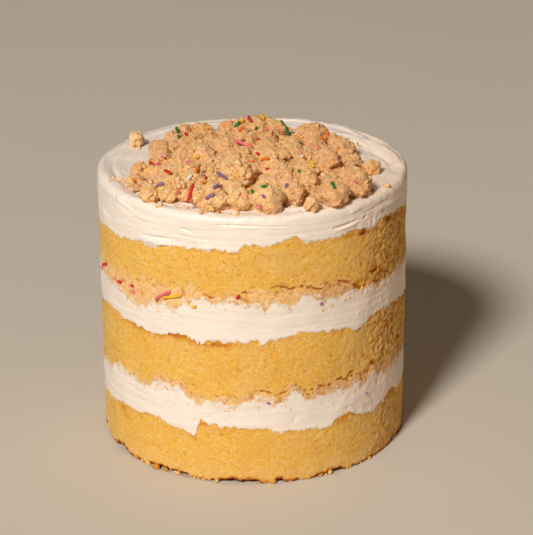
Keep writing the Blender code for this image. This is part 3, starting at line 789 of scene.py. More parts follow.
def sponge_colour(look):
    """Yellow sponge: painted shade in its holes, pores and hollows, paler in places, a painted sheen at the
    far left.
    """
    fleck = look.noise(1.2 * MM, 0.3, 0.7, 1.5)
    colour = look.blend(look.noise(14 * MM), *SPONGE_TONES)
    colour = look.blend(look.noise(3.5 * MM, 0.5, 0.75), colour, SPONGE_CLOUD)
    # Pale places, and a painted sheen on the far left where the side is seen at a grazing angle
    colour = look.blend(look.layer("pale"), colour, SPONGE_PALE_AND_SHEEN)
    colour = look.blend(look.spread(fleck, 0.0, 0.45, 0.7, 0.0), colour, SPONGE_DEEP_FLECK)
    colour = look.blend(look.spread(fleck, 0.5, 1.0, 0.0, 0.8), colour, SPONGE_PALE_FLECK)
    # Painted shade in the small holes, the pores and, darkest, the deep hollows of coarse sponge
    colour = look.blend(open_holes(look), colour, SPONGE_HOLE_SHADE)
    colour = look.blend(look.spread(look.layer("pore_shade"), 0.15, 0.9, 0.0, 0.85), colour, SPONGE_PORE_SHADE)
    return look.blend(look.spread(look.layer("pore_shade"), 0.9, 1.8), colour, SPONGE_DEEP_SHADE)


def browned(look, colour):
    """Baked skin over a colour: light brown where it is thin, red-brown where it is thick."""
    colour = look.blend(look.spread(look.layer("skin"), 0.0, 0.7), colour, THIN_SKIN)
    return look.blend(look.spread(look.layer("skin"), 0.7, 1.3), colour, THICK_SKIN)


def open_holes(look):
    """The fine holes of the sponge, thicker in some places than in others. They carry painted shade and a
    bump.
    """
    crowded = look.noise(5 * MM, 0.38, 0.62)
    fine = look.times(look.holes(1.1 * MM, 0.33), look.spread(crowded, 0.0, 1.0, 0.25, 0.85))
    wide = look.times(look.holes(2.3 * MM, 0.22), look.noise(9 * MM, 0.45, 0.6))
    return look.math("MAXIMUM", fine, wide)


def cream_colour(look):
    """Frosting with a warmer painted shade on the right, and crumbs smeared into it near the crumb layers."""
    colour = look.blend(look.noise(18 * MM), *CREAM_TONES)
    colour = look.blend(look.noise(2.5 * MM, 0.5, 0.85), colour, CREAM_CLOUD)
    # Painted shade: the right side, away from the key light, is tinted warmer
    colour = look.blend(look.along("X", 30 * MM, 72 * MM), colour, CREAM_PAINTED_SHADE)
    smeared = look.times(look.layer("stain"), look.noise(1.2 * MM, 0.5, 0.62, 2.0, (1, 1, 0.6)))
    return look.blend(smeared, colour, CREAM_STAIN)


def crumb_colour(look):
    """Baked crumbs: sandy, golden or pinkish, with painted shade in hollows, some darker crumbs and pale
    grains.
    """
    sand = look.noise(0.9 * MM, 0.32, 0.68, 2.0)
    # Darker and browner towards the back and the right of the heap
    back_and_right = look.math("MAXIMUM", look.along("Y", -32 * MM, 6 * MM), look.along("X", 8 * MM, 34 * MM))
    colour = look.blend(look.noise(7 * MM, 0.38, 0.62), *CRUMB_GOLDEN)
    colour = look.blend(look.noise(11 * MM, 0.5, 0.66), colour, CRUMB_PINK)
    colour = look.blend(look.layer("pressed"), colour, CRUMB_PRESSED)
    colour = look.blend(look.times(back_and_right, 0.7), colour, CRUMB_BACK_RIGHT_TONE)
    colour = look.blend(look.spread(sand, 0.0, 0.45, 0.6, 0.0), colour, CRUMB_DEEP_SAND)
    colour = look.blend(look.spread(sand, 0.5, 1.0, 0.0, 0.65), colour, CRUMB_PALE_SAND)
    colour = look.blend(look.layer("bright"), colour, CRUMB_BRIGHT)
    colour = look.blend(look.noise(2.2 * MM, 0.68, 0.76), colour, CRUMB_BROWN)
    # Painted shade in hollows and creases, and a darker tone of some single crumbs
    return look.blend(look.spread(look.layer("hollow"), 0.0, 1.0, 0.0, 0.95), colour, CRUMB_SHADE_AND_DARK_TONE)


def across_seams(look, below, own, above, low_softness, high_softness):
    """The colour of a layer, with the stuff below and above it showing through near its seams."""
    over_low = look.math("SUBTRACT", 1.0, look.layer("low_share"))
    colour = browned(look, look.blend(look.seam(over_low, low_softness), below(look), own(look)))
    colour = look.blend(look.seam(look.layer("high_share"), high_softness), colour, above(look))
    # Painted shade in the cracks and small gaps along the seam
    return look.blend(look.spread(look.layer("crack"), 0.05, 0.6), colour, CRACK_SHADE)


def sponge_look():
    """Sponge: dull, with a fine open grain."""
    look = Look("sponge", Roughness=0.85, Subsurface_Weight=0.25, Subsurface_Scale=0.8 * MM,
                Subsurface_Radius=(1.0, 0.65, 0.3), Specular_IOR_Level=0.1)
    look.bump(look.noise(1.2 * MM, 0.3, 0.7, 1.5), 0.14 * MM, 0.55)
    look.bump(look.math("SUBTRACT", 1.0, open_holes(look)), 0.25 * MM, 0.7)
    colour = across_seams(look, crumb_colour, sponge_colour, cream_colour, SOFT_SEAM, CRISP_SEAM)
    return look.finish(colour, look.spread(look.noise(3 * MM), 0.0, 1.0, 0.75, 0.95))


def cream_look():
    """Satin frosting, smeared along the side."""
    look = Look("frosting", Roughness=0.42, Subsurface_Weight=0.25, Subsurface_Scale=1.5 * MM,
                Subsurface_Radius=(1.0, 0.8, 0.65), Specular_IOR_Level=0.45)
    look.bump(look.noise(2.2 * MM, 0.2, 0.8, 3.0, (0.2, 0.2, 1.0)), 0.22 * MM, 0.7)
    look.bump(look.noise(0.9 * MM, 0.3, 0.8, 1.0), 0.05 * MM, 0.6)
    colour = across_seams(look, sponge_colour, cream_colour, crumb_colour, CRISP_SEAM, SMEARED_SEAM)
    return look.finish(colour, look.spread(look.noise(6 * MM), 0.0, 1.0, 0.34, 0.5))


def crumb_look(name, glow):
    """Baked crumbs: dull and sandy. Light goes into large clumps, by this share, and hardly into grains."""
    look = Look(name, Roughness=0.95, Subsurface_Weight=glow, Subsurface_Scale=1.5 * MM,
                Subsurface_Radius=(1.0, 0.55, 0.25), Specular_IOR_Level=0.05)
    look.bump(look.noise(1.0 * MM, 0.3, 0.7, 2.0), 0.22 * MM, 0.5)
    return look.finish(across_seams(look, cream_colour, crumb_colour, sponge_colour, SMEARED_SEAM, SOFT_SEAM))


def strand_look(name, colour):
    """A sugar strand: one bright colour, slightly dusty and uneven."""
    look = Look("sprinkles_" + name, Roughness=0.4, Subsurface_Weight=0.05, Subsurface_Scale=0.5 * MM,
                Specular_IOR_Level=0.4)
    darker = [STRAND_SHADE * part for part in colour]
    own = 1 - STRAND_DUST_SHARE
    dusty = [own * part + STRAND_DUST_SHARE * dust for part, dust in zip(colour, STRAND_DUST)]
    mixed = look.blend(look.noise(2 * MM), colour, darker)
    mixed = look.blend(look.spread(look.noise(0.6 * MM, 0.6, 0.8), 0.0, 1.0, 0.0, 0.6), mixed, dusty)
    look.bump(look.noise(0.5 * MM), 0.06 * MM, 0.6)
    return look.finish(mixed)


# Layers

def worn_base():
    """Height of the bottom edge of the lowest sponge: on the floor, but for small broken notches."""
    place = around(CAKE_RADIUS, 0.0)
    notches = 1.9 * MM * eased(smooth_noise(place, 6 * MM, 171), -0.2, 0.3)
    return BASE_LIFT + notches + 1.1 * MM * eased(layered(place, 1.9 * MM, 172, 2), 0.0, 0.8)


def roughness_round():
    """How coarse the sponge is at each azimuth: open and crumbly on the right, smooth at the front."""
    place = around(CAKE_RADIUS, 0.0)
    right = np.exp(-(turned_from(66) / 19) ** 2)
    left = 0.4 * np.exp(-(turned_from(-84) / 12) ** 2)
    behind = eased(np.abs(turned_from(0)), 90, 120) * eased(smooth_noise(place, 45 * MM, 70), -0.3, 0.5)
    return np.clip(0.22 + right + left + 0.6 * behind, 0, 1)


def sponge_relief(place):
    """Relief of open sponge, and how much painted shade each place gets in its pores and grain hollows."""
    raised = eased(place[..., 2], SMOOTH_BELOW, COARSE_ABOVE)
    coarse = (LOW_COARSENESS + ADDED_COARSENESS * raised) * roughness_round()
    grain = layered(place * LEVEL_STRETCH, GRAIN_SIZE, 201, 2)
    torn = layered(place * LEVEL_STRETCH, TORN_SIZE, 222, 2)
    depth = 0
    pore_shade = 0
    for size, seed, share, smooth_part, coarse_part, deep, dark in SPONGE_PORES:
        hollow = pits(place, size, seed, share) * (smooth_part + coarse_part * coarse)
        depth = depth + deep * hollow
        pore_shade = pore_shade + dark * hollow
    relief = (GRAIN_RELIEF + COARSE_GRAIN_RELIEF * coarse) * grain + TORN_RELIEF * (coarse * torn)
    relief = relief - depth - SPONGE_SUNK
    # Painted shade: darker in pores, in the low places of the grain and, on the coarse right side, in torn
    # hollows
    pore_shade = np.clip(pore_shade + 0.25 * eased(-grain, 0, 0.6), 0, 1)
    shaded = eased(-torn, 0.0, 0.8) + eased(-grain, 0.0, 0.8)
    pore_shade = pore_shade + 1.5 * np.clip(coarse - 0.25, 0, 1) * shaded
    return relief * MM, {"pore_shade": pore_shade}


def cream_relief(place):
    """Relief of spread frosting: faint smears along the side, and lumps and bubbles on the right."""
    right = np.exp(-(turned_from(56) / 20) ** 2)
    smear = 0.12 * layered(place * np.array((0.06, 0.06, 1.0)), 1.6 * MM, 301, 2)
    lumps = (0.05 + 0.13 * right) * layered(place, 3.0 * MM, 304, 2)
    bubbles = 0.35 * pits(place, 4.2 * MM, 308, 0.12 + 0.2 * right)
    return (smear + lumps - bubbles - CREAM_SUNK) * MM, {}


def crumb_relief(place):
    """Relief of crumbs pressed together, and how much painted shade each place gets in the creases between
    them.
    """
    lumps = pebbles(place, 3.4 * MM, 401)
    fine = pebbles(place, 1.3 * MM, 406)
    sand = smooth_noise(place, 0.8 * MM, 411)
    relief = 0.75 * (lumps - 0.6) + 0.4 * (fine - 0.5) + 0.1 * sand - CRUMBS_SUNK
    # Painted shade in the creases between crumbs
    hollow = np.clip(0.75 * eased(0.72 - lumps, 0.1, 0.5) + 0.4 * eased(0.7 - fine, 0.1, 0.6), 0, 1)
    pressed = eased(smooth_noise(place, 9 * MM, 415), -0.5, 0.5)
    return relief * MM, {"hollow": hollow, "pressed": pressed}


RELIEFS = {"sponge": sponge_relief, "cream": cream_relief, "crumbs": crumb_relief}


def upper_share(heights, seam, below, above):
    """How much of the stuff above a seam shows at each place: none well below the seam, all well above."""
    blur, size, strength, seed = SEAM_KINDS[below, above]
    ragged = layered(around(CAKE_RADIUS, heights), size * MM, seed)
    return eased((heights - seam) / (blur * MM) + strength * ragged, -1, 1)


def cracks(heights, seam, rows):
    """Short open cracks along a seam, and small gaps scattered along it: 1 in the middle of each."""
    place = around(CAKE_RADIUS, heights)
    wander = 0.8 * MM * layered(place, 4 * MM, 77)
    broken = eased(smooth_noise(place, 1.4 * MM, 78), -0.15, 0.25)
    crowded = 0.2 + 0.4 * eased(smooth_noise(around(CAKE_RADIUS, 0.0), 16 * MM, 79), -0.4, 0.4)
    crowded = crowded + 0.9 * np.exp(-(turned_from(38) / 30) ** 2)
    near = np.exp(-((heights - seam - 0.6 * MM) / CRACK_PIT_REACH) ** 2)
    total = CRACK_PIT_SHARE * crowded * near * np.clip(1.8 * pits(place, 1.8 * MM, 431, 0.6), 0, 1)
    for start, end, height, width in rows:
        inside = np.clip(turned_from(start) / (end - start), 0, 1)
        across = (heights - seam - height * MM + wander) / (width * MM)
        total = np.maximum(total, np.sin(np.pi * inside) ** 0.5 * np.exp(-across ** 2) * broken)
    return total


def blended_side(heights, low, high, below, own, above, crack=0.0):
    """Radius of a layer's side, with its relief running into its neighbours', and its material's numbers."""
    place = around(CAKE_RADIUS, heights)
    none = np.zeros(heights.shape)
    low_share = 1 - upper_share(heights, low, below, own) if below else none
    high_share = upper_share(heights, high, own, above) if above else none
    relief, numbers = RELIEFS[own](place)
    for other, share in ((below, low_share), (above, high_share)):
        if other:
            other_relief, other_numbers = RELIEFS[other](place)
            relief = relief + share * (other_relief - relief)
            numbers = {**other_numbers, **numbers}
    crack = crack + none
    numbers.update(low_share=low_share, high_share=high_share, crack=crack)
    swell = SIDE_SWELL * smooth_noise(place, SIDE_SWELL_SIZE, 12)
    return CAKE_RADIUS + swell + relief - CRACK_DEPTH * crack, numbers


def baked_skin_and_base_shadow(heights, low, high, strength):
    """How brown the sponge is: skin patches, a band under the frosting, and crust and painted shadow at the
    base.
    """
    place = around(CAKE_RADIUS, heights)
    below = high - heights
    baked = eased(smooth_noise(place, 24 * MM, 240), 0.1, 0.7) * np.exp(-(below / (3 * MM)) ** 2)
    rind = 0.45 * np.exp(-(below / (1.5 * MM)) ** 2) * eased(smooth_noise(place, 8 * MM, 241), -0.4, 0.4)
    skin = swells(heights, SKIN_PATCHES) + strength * (0.7 * baked + rind)
    if low.min() < MM:
        singed = eased(smooth_noise(around(CAKE_RADIUS, 0.0), 9 * MM, 243), -0.1, 0.35)
        skin = skin + 1.3 * singed * np.exp(-((heights - low) / (1.7 * MM)) ** 2)
        # A dark line all round the foot: partly baked crust, partly painted shadow under the edge of the cake
        skin = skin + 2.4 * np.exp(-((heights - low) / (1.0 * MM)) ** 2)
    return np.clip(skin * eased(layered(place, 1.6 * MM, 244, 2), -0.9, 0.3), 0, 1.3)


def pale_sponge_and_sheen(heights):
    """How pale the sponge is: painted sheen far left; paler far right, above the base and in faint clouds."""
    place = around(CAKE_RADIUS, heights)
    # Painted sheen: the far left, seen at a grazing angle, is made pale
    pale_and_sheen = 0.7 * np.exp(-(turned_from(-84) / 16) ** 2) + 0.75 * np.exp(-(heights / (7 * MM)) ** 2)
    pale_and_sheen = pale_and_sheen + 0.7 * np.exp(-(turned_from(60) / 20) ** 2)
    return np.clip(pale_and_sheen + 0.3 * eased(smooth_noise(place, 16 * MM, 242), 0.1, 0.8), 0, 0.85)


def sponge_layer(name, node, low, high, material, skin_strength, crack_rows=None):
    """One layer of sponge between two seams. The lowest one stands on the floor, with no crumbs below it."""
    heights = rows_between(low, high, SPONGE_ROWS)
    below = "crumbs" if crack_rows else None
    crack = cracks(heights, low, crack_rows) if crack_rows else 0.0
    radius, numbers = blended_side(heights, low, high, below, "sponge", "cream", crack)
    numbers["skin"] = baked_skin_and_base_shadow(heights, low, high, skin_strength)
    numbers["pale"] = pale_sponge_and_sheen(heights)
    if not below:
        radius = radius - tucked(heights - low, 0.9 * MM, 0.5 * MM)
    return side_piece(name, node, "sponge", material, radius, heights, low, high, numbers)


def cream_layer(name, node, low, high, material):
    """A band of frosting between the sponge below it and the crumbs on top of it."""
    heights = rows_between(low, high, CREAM_ROWS)
    radius, numbers = blended_side(heights, low, high, "sponge", "cream", "crumbs")
    patches = eased(smooth_noise(around(CAKE_RADIUS, 0.0), 11 * MM, 330), -0.3, 0.4)
    numbers["stain"] = (0.35 + 0.65 * patches) * np.exp(-(high - heights) / (2.4 * MM))
    return side_piece(name, node, "frosting", material, radius, heights, low, high, numbers)


def crumb_layer(name, node, low, high, rows, material, crack_rows):
    """A band of crumbs pressed between frosting and sponge."""
    heights = rows_between(low, high, rows)
    crack = cracks(heights, high, crack_rows)
    radius, numbers = blended_side(heights, low, high, "cream", "crumbs", "sponge", crack)
    return side_piece(name, node, "crumbs", material, radius, heights, low, high, numbers)


def side_piece(name, node, slot, material, radius, heights, low, high, numbers):
    """The closed piece of one layer."""
    bottom = low.mean() + SEAM_GAP / 2
    top = high.mean() - SEAM_GAP / 2
    mesh = turned_mesh(name, around(radius, heights), bottom, top, **numbers)
    return add_piece(name, mesh, material, slot, node)


def top_heights(radii):
    """Height of the frosted solid's top at each of these radii and every column, eased over its facets."""
    tree = tree_over(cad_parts["frosting_top"])
    down = Vector((0, 0, -1))
    heights = np.empty((len(radii), COLUMNS))
    for row, radius in enumerate(radii):
        for column, place in enumerate(around(radius, SKY)):
            heights[row, column] = tree.ray_cast(Vector(place), down)[0].z
    for _ in range(ROUND_SOFTENING):
        heights = (np.roll(heights, 1, axis=1) + 2 * heights + np.roll(heights, -1, axis=1)) / 4
    for _ in range(OUTWARD_SOFTENING):
        padded = np.pad(heights, ((1, 1), (0, 0)), mode="edge")
        heights = (padded[:-2] + 2 * heights + padded[2:]) / 4
    return heights


def spread_relief(radii):
    """Fine ridges that the spatula left as it swept round the top."""
    drift = 5 * MM * np.sin(np.radians(AZIMUTHS + 40)) + 3 * MM * np.sin(np.radians(2 * AZIMUTHS - 30))
    lane = (radii[:, None] + drift) / RIDGE_WIDTH
    swept = np.stack(np.broadcast_arrays(2.6 * SINES, 2.6 * COSINES, lane), -1)
    ridges = smooth_noise(swept, 1.0, 81) + 0.5 * smooth_noise(swept * np.array((1.5, 1.5, 2.2)), 1.0, 82)
    place = around(radii[:, None], CAKE_TOP)
    waves = 0.4 * MM * smooth_noise(place, 12 * MM, 83)
    return 0.5 * MM * ridges + waves + 0.08 * MM * smooth_noise(place, 2 * MM, 84)


def cap_tops(radii):
    """Height of the swept top of the frosting at each of these radii and every column."""
    swept = spread_relief(radii) + marks(radii[:, None] + 0 * SINES, TOP_MARKS)
    return top_heights(radii - RAY_MARGIN) + eased(radii[:, None], 0, EDGE_RADIUS) * swept


def cap_wave():
    """How far the side of the cap waves in and out under its lip, most of all at the back left."""
    edge = around(CAKE_RADIUS, CAKE_TOP)
    back_left = np.exp(-(turned_from(-118) / 26) ** 2)
    return 0.3 * MM * smooth_noise(edge, 12 * MM, 60) + 0.35 * MM * back_left * layered(edge, 5 * MM, 61, 2)


def cap_lip(side_radius, foot, lifted):
    """Points of the soft lip, from the top row of the side to the edge of the top."""
    angles = LIP_ANGLES[:, None]
    radius = side_radius - LIP_RADIUS * (1 - np.cos(angles))
    radius = radius + (CAKE_RADIUS - side_radius) * np.sin(angles) ** 2
    height = foot + (LIP_RADIUS + lifted) * np.sin(angles)
    tangle = 0.12 * MM * layered(around(radius, height), 4 * MM, 62, 2)
    return around(radius + tangle, height + tangle)


def frosting_cap(low, material):
    """The top frosting: a spread side, a soft lip and a swept top."""
    foot = CAKE_TOP - LIP_RADIUS
    side = rows_between(low, np.full(COLUMNS, foot), CAP_ROWS)
    radius, numbers = blended_side(side, low, foot, "sponge", "cream", None)
    radius = radius + cap_wave() * eased(side, foot - CAP_WAVE_REACH, foot)
    radius = radius + marks(side, SIDE_MARKS) + swells(side, SIDE_SWELLS) * MM
    shown = np.arange(CAKE_RADIUS - LIP_RADIUS, HIDDEN_RADIUS, -TOP_RING_STEP)
    hidden = np.arange(shown[-1] - HIDDEN_RING_STEP, INNERMOST_RING, -HIDDEN_RING_STEP)
    radii = np.concatenate([shown, hidden])
    tops = cap_tops(radii)
    lip = cap_lip(radius[-1], foot, tops[0] - CAKE_TOP)
    grid = np.concatenate([around(radius, side), lip, around(radii[:, None], tops)])
    above_side = np.zeros((len(grid) - len(side), COLUMNS))
    numbers = {key: np.concatenate([values, above_side]) for key, values in numbers.items()}
    mesh = turned_mesh("top_frosting", grid, low.mean() + SEAM_GAP / 2, tops[-1].mean(), **numbers)
    return add_piece("top_frosting", mesh, material, "frosting", "frosting_top")


# Crumbs

def clump_balls(tree):
    """Points and faces of uneven balls for the large clumps, each set into the heap where it is seen."""
    points, faces = ball(4)
    all_points = []
    all_faces = []
    for number, (x, y, wide, tall) in enumerate(HEAP_CLUMPS):
        place, _, _ = seen_at((tree,), x, y)
        centre = np.array(place + camera_ray(x, y) * CLUMP_DEPTH * wide / 2 * MM)
        own = points + 9 * number
        lumps = 1 + 0.22 * smooth_noise(own, 0.9, 95) + 0.09 * smooth_noise(own, 0.4, 96)
        ball_points = centre + points * lumps[:, None] * np.array((wide, wide, tall)) / 2 * MM
        ball_points[:, 2] = np.maximum(ball_points[:, 2], HEAP_FLOOR)
        all_points.append(ball_points)
        all_faces.append(faces + number * len(points))
    return np.concatenate(all_points), np.concatenate(all_faces)


def with_clumps(solid):
    """A copy of a solid's mesh with the balls of the large clumps in it."""
    points, faces = clump_balls(tree_over(solid))
    own = points_of(solid.data)
    all_faces = faces_of(solid.data) + (faces + len(own)).tolist()
    mesh = bpy.data.meshes.new("clumps")
    mesh.from_pydata(np.concatenate([own, points]).tolist(), [], all_faces)
    return mesh


def even_copy(solid, voxel, softening):
    """A closed shape, or several that overlap, as one even mesh, softened by this many steps."""
    scene = bpy.context.scene
    source = bpy.data.objects.new("even_copy", solid.copy())
    scene.collection.objects.link(source)
    even = source.modifiers.new("even", "REMESH")
    even.mode = "VOXEL"
    even.voxel_size = voxel
    soft = source.modifiers.new("soft", "SMOOTH")
    soft.factor = 0.5
    soft.iterations = softening
    bpy.context.view_layer.update()
    mesh = bpy.data.meshes.new_from_object(source.evaluated_get(bpy.context.evaluated_depsgraph_get()))
    bpy.data.objects.remove(source, do_unlink=True)
    return mesh


def crumbly(name, node, solid, voxel, material, seed, lumpiness=0.5, brightness=0.0):
    """A heap or a single crumb: the solid shape with sharper creases, roughened into lumps and sand."""
    mesh = even_copy(solid, voxel, LIGHT_SOFTENING)
    broad = even_copy(solid, voxel, BROAD_SOFTENING)
    points = points_of(mesh)
    normals = points_of(mesh, "normal")
    dip = np.einsum("ij,ij->i", points_of(broad) - points, normals)
    lumps = layered(points, 3.0 * MM, seed)
    fine = pebbles(points, 1.7 * MM, seed + 5)
    sand = layered(points, 1.1 * MM, seed + 10, 2)
    push = MM * (lumpiness * lumps + 0.5 * (fine - 0.6) + 0.22 * sand) - 0.4 * np.clip(dip, -MM, 1.8 * MM)
    free = eased(points[:, 2], HEAP_FLOOR, HEAP_FLOOR + MM)
    moved = points + normals * (push * free)[:, None]
    near_floor = 1 - eased(points[:, 2], HEAP_FLOOR, HEAP_FLOOR + 2 * MM)
    moved[:, 2] = np.maximum(moved[:, 2], HEAP_FLOOR) - 0.6 * MM * near_floor
    mesh.vertices.foreach_set("co", moved.ravel())
    # Painted shade: darker in the hollows of the shape and in the creases between its lumps
    creases = 0.35 * eased(-lumps, 0.1, 0.8) + 0.3 * eased(0.7 - fine, 0.1, 0.6)
    hollow = 0.95 * eased(dip, 0.2 * MM, 1.1 * MM) + creases
    set_layer(mesh, "hollow", np.clip(hollow, 0, 1))
    set_layer(mesh, "bright", np.full(len(points), brightness))
    mesh.materials.clear()
    bpy.data.meshes.remove(broad)
    return add_piece(name, mesh, material, "crumbs", node)


def fallen_crumbs(material):
    """The single crumbs beside the heap."""
    fallen = []
    for number, (side, brightness) in enumerate(FALLEN_CRUMBS):
        node = "loose_crumb_" + side
        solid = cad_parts[node].data
        name = "fallen_crumb_" + side
        seed = 950 + 20 * number
        fallen.append(crumbly(name, node, solid, LOOSE_VOXEL, material, seed, FALLEN_LUMPINESS, brightness))
    return fallen


def landing(trees, x, y):
    """Where a ray straight down first meets one of these surfaces: the place, the normal and which one."""
    best = None
    for number, tree in enumerate(trees):
        place, normal, _, _ = tree.ray_cast(Vector((x, y, SKY)), Vector((0, 0, -1)))
        if place is not None and (best is None or place.z > best[0].z):
            best = (place, normal, number)
    return best


def ball(levels):
    """Points and triangles of a ball of radius 1."""
    made = bmesh.new()
    bmesh.ops.create_icosphere(made, subdivisions=levels, radius=1)
    made.verts.index_update()
    points = np.array([vert.co[:] for vert in made.verts])
    faces = np.array([[vert.index for vert in face.verts] for face in made.faces])
    made.free()
    return points, faces


def turns(count, rng):
    """Random rotation matrices."""
    q = rng.normal(size=(count, 4))
    w, x, y, z = (q / np.linalg.norm(q, axis=1)[:, None]).T
    rows = (
        (1 - 2 * (y * y + z * z), 2 * (x * y - w * z), 2 * (x * z + w * y)),
        (2 * (x * y + w * z), 1 - 2 * (x * x + z * z), 2 * (y * z - w * x)),
        (2 * (x * z - w * y), 2 * (y * z + w * x), 1 - 2 * (x * x + y * y)),
    )
    return np.array(rows).transpose(2, 0, 1)


def grain_shape():
    """Points and triangles of the plainest solid grain, a double pyramid of radius 1."""
    points = np.concatenate([np.eye(3), -np.eye(3)])
    ring = (0, 1, 3, 4)
    faces = [(ring[k - 1], ring[k], 2) for k in range(4)] + [(ring[k], ring[k - 1], 5) for k in range(4)]
    return points, np.array(faces)


def strewn_mesh(name, places, sizes, shape, rng, **tones):
    """One mesh of many uneven crumbs. Each tone is a number that the material reads, and its range."""
    points, faces = shape
    count = len(places)
    stretch = rng.uniform(0.65, 1.2, (count, 1, 3))
    offset = rng.uniform(0, 500, (count, 1, 3))
    lumps = 1 + 0.42 * layered(points[None] * 1.3 + offset, 1.0, 90, 2)
    shapes = np.einsum("nij,nvj->nvi", turns(count, rng), points[None] * stretch * lumps[..., None])
    verts = np.asarray(places)[:, None] + shapes * np.asarray(sizes)[:, None, None] / 2
    all_faces = faces[None] + np.arange(count)[:, None, None] * len(points)
    mesh = bpy.data.meshes.new(name)
    mesh.from_pydata(verts.reshape(-1, 3).tolist(), [], all_faces.reshape(-1, 3).tolist())
    for tone, (least, most) in tones.items():
        set_layer(mesh, tone, np.repeat(np.maximum(rng.uniform(least, most, count), 0), len(points)))
    return mesh


def uneven_width(rng, sizes, bias, count=None):
    """A random width between two sizes, or an array of them. A higher bias leaves fewer large ones."""
    least, most = sizes
    return least + (most - least) * rng.uniform(size=count) ** bias


def surface_places(count, sizes, heap, rng):
    """Places spread evenly over the heap, on its steep sides too, with a size for each."""
    points = points_of(heap.data)
    shown = np.flatnonzero(points[:, 2] > HEAP_FLOOR + MM)
    picked = rng.choice(shown, count, replace=False)
    widths = uneven_width(rng, sizes, CRUMB_SIZE_BIAS, count)
    raised = points_of(heap.data, "normal")[picked] * (widths * HEAP_CRUMB_RISE)[:, None]
    return list(points[picked] + raised), list(widths)


def heap_places(count, sizes, trees, rng):
    """Places on the heap, thinning out on the frosting round its edge, with a size for each."""
    heap = trees[0]
    places = []
    widths = []
    while len(places) < count:
        x, y = rng.uniform(-SCATTER_REACH, SCATTER_REACH, 2)
        width = uneven_width(rng, sizes, CRUMB_SIZE_BIAS)
        chance = rng.uniform()
        landed = landing(trees, x, y)
        if landed is None or math.hypot(x, y) > SCATTER_REACH:
            continue
        place, normal, number = landed
        if number > 0:
            away = heap.find_nearest(Vector((x, y, HEAP_FLOOR + MM)))[3]
            if chance > math.exp(-away / DUST_FADE):
                continue
        places.append(place + normal * width * HEAP_CRUMB_RISE)
        widths.append(width)
    return places, widths


def dusted_places(sizes, trees, rng, share):
    """Places in the dustings on the frosting, with a size for each."""
    places = []
    widths = []
    for x, y, spread, count in DUSTINGS:
        for _ in range(int(count * share)):
            dx, dy = rng.normal(0, spread * MM / DUST_CLOSENESS, 2)
            width = uneven_width(rng, sizes, DUST_SIZE_BIAS)
            spot = (x * MM + dx, y * MM + dy)
            landed = landing(trees, *spot)
            if landed is None or math.hypot(*spot) > CAKE_RADIUS - DUST_MARGIN:
                continue
            place, normal, _ = landed
            places.append(place + normal * width * DUST_RISE)
            widths.append(width)
    return places, widths


def strewn_crumbs(material, heap, trees):
    """The small crumbs and grains over the heap and in the dustings beside it. Returns the small crumbs."""
    rng = np.random.default_rng(5)
    pieces = []
    for name, count, sizes, shape, share in (
        ("small_crumbs", CRUMB_COUNT, CRUMB_SIZES, ball(2), DUST_CRUMB_SHARE),
        ("crumb_grains", GRAIN_COUNT, GRAIN_SIZES, grain_shape(), DUST_GRAIN_SHARE),
    ):
        on_top, top_widths = heap_places(int(count * FALLEN_SHARE), sizes, trees, rng)
        all_over, other_widths = surface_places(count - len(on_top), sizes, heap, rng)
        dusted, dust_widths = dusted_places(sizes, trees, rng, share)
        places = on_top + all_over + dusted
        widths = top_widths + other_widths + dust_widths
        bright = [np.repeat(pair, (count, len(dusted))) for pair in zip(GRAIN_BRIGHTNESS, DUST_BRIGHTNESS)]
        mesh = strewn_mesh(name, places, widths, shape, rng, hollow=CRUMB_DARKNESS, bright=bright)
        pieces.append(add_piece(name, mesh, material, "crumbs", "crumb_topping"))
    return pieces[0]


def outward_hit(trees, azimuth, height):
    """Where a level ray from outside first meets one of these bands of the side, and the normal there."""
    turn = math.radians(azimuth)
    out = Vector((math.sin(turn), -math.cos(turn), 0))
    start = out * 2 * CAKE_RADIUS + Vector((0, 0, height))
    hit = nearest_hit(trees, start, -out)
    return hit[:2] if hit else (None, None)


def edge_crumbs(heap, material):
    """Crumbs of middling size all round the foot of the heap."""
    rng = np.random.default_rng(11)
    places = []
    widths = []
    for azimuth in np.arange(0, 360, 360 / EDGE_CRUMB_COUNT):
        width = rng.uniform(*EDGE_CRUMB_SIZES)
        height = HEAP_FLOOR + rng.uniform(*EDGE_CRUMB_HEIGHTS) * width
        place, normal = outward_hit((heap,), azimuth + rng.uniform(-1, 1), height)
        if place is not None:
            places.append(place - normal * width * EDGE_CRUMB_SUNK)
            widths.append(width)
    mesh = strewn_mesh("edge_crumbs", places, widths, ball(3), rng, hollow=CRUMB_DARKNESS)
    return add_piece("edge_crumbs", mesh, material, "crumbs", "crumb_topping")


def base_crumbs(sponge_tree, material):
    """Broken bits of sponge on the floor, close against the foot of the cake."""
    rng = np.random.default_rng(12)
    places = []
    widths = []
    for azimuth in rng.uniform(0, 360, BASE_CRUMB_COUNT):
        width = uneven_width(rng, BASE_CRUMB_SIZES, BASE_CRUMB_SIZE_BIAS)
        place, _ = outward_hit((sponge_tree,), azimuth, BASE_CRUMB_LEVEL)
        out = Vector((place.x, place.y, 0)).normalized()
        spot = place + out * width * rng.uniform(*BASE_CRUMB_OUT)
        spot.z = BASE_CRUMB_HEIGHT * width
        places.append(spot)
        widths.append(width)
    mesh = strewn_mesh("base_crumbs", places, widths, ball(2), rng, pale=BASE_CRUMB_PALENESS,
                       skin=BASE_CRUMB_SKIN)
    points = points_of(mesh)
    points[:, 2] = np.maximum(points[:, 2], 0)
    mesh.vertices.foreach_set("co", points.ravel())
    return add_piece("base_crumbs", mesh, material, "sponge")


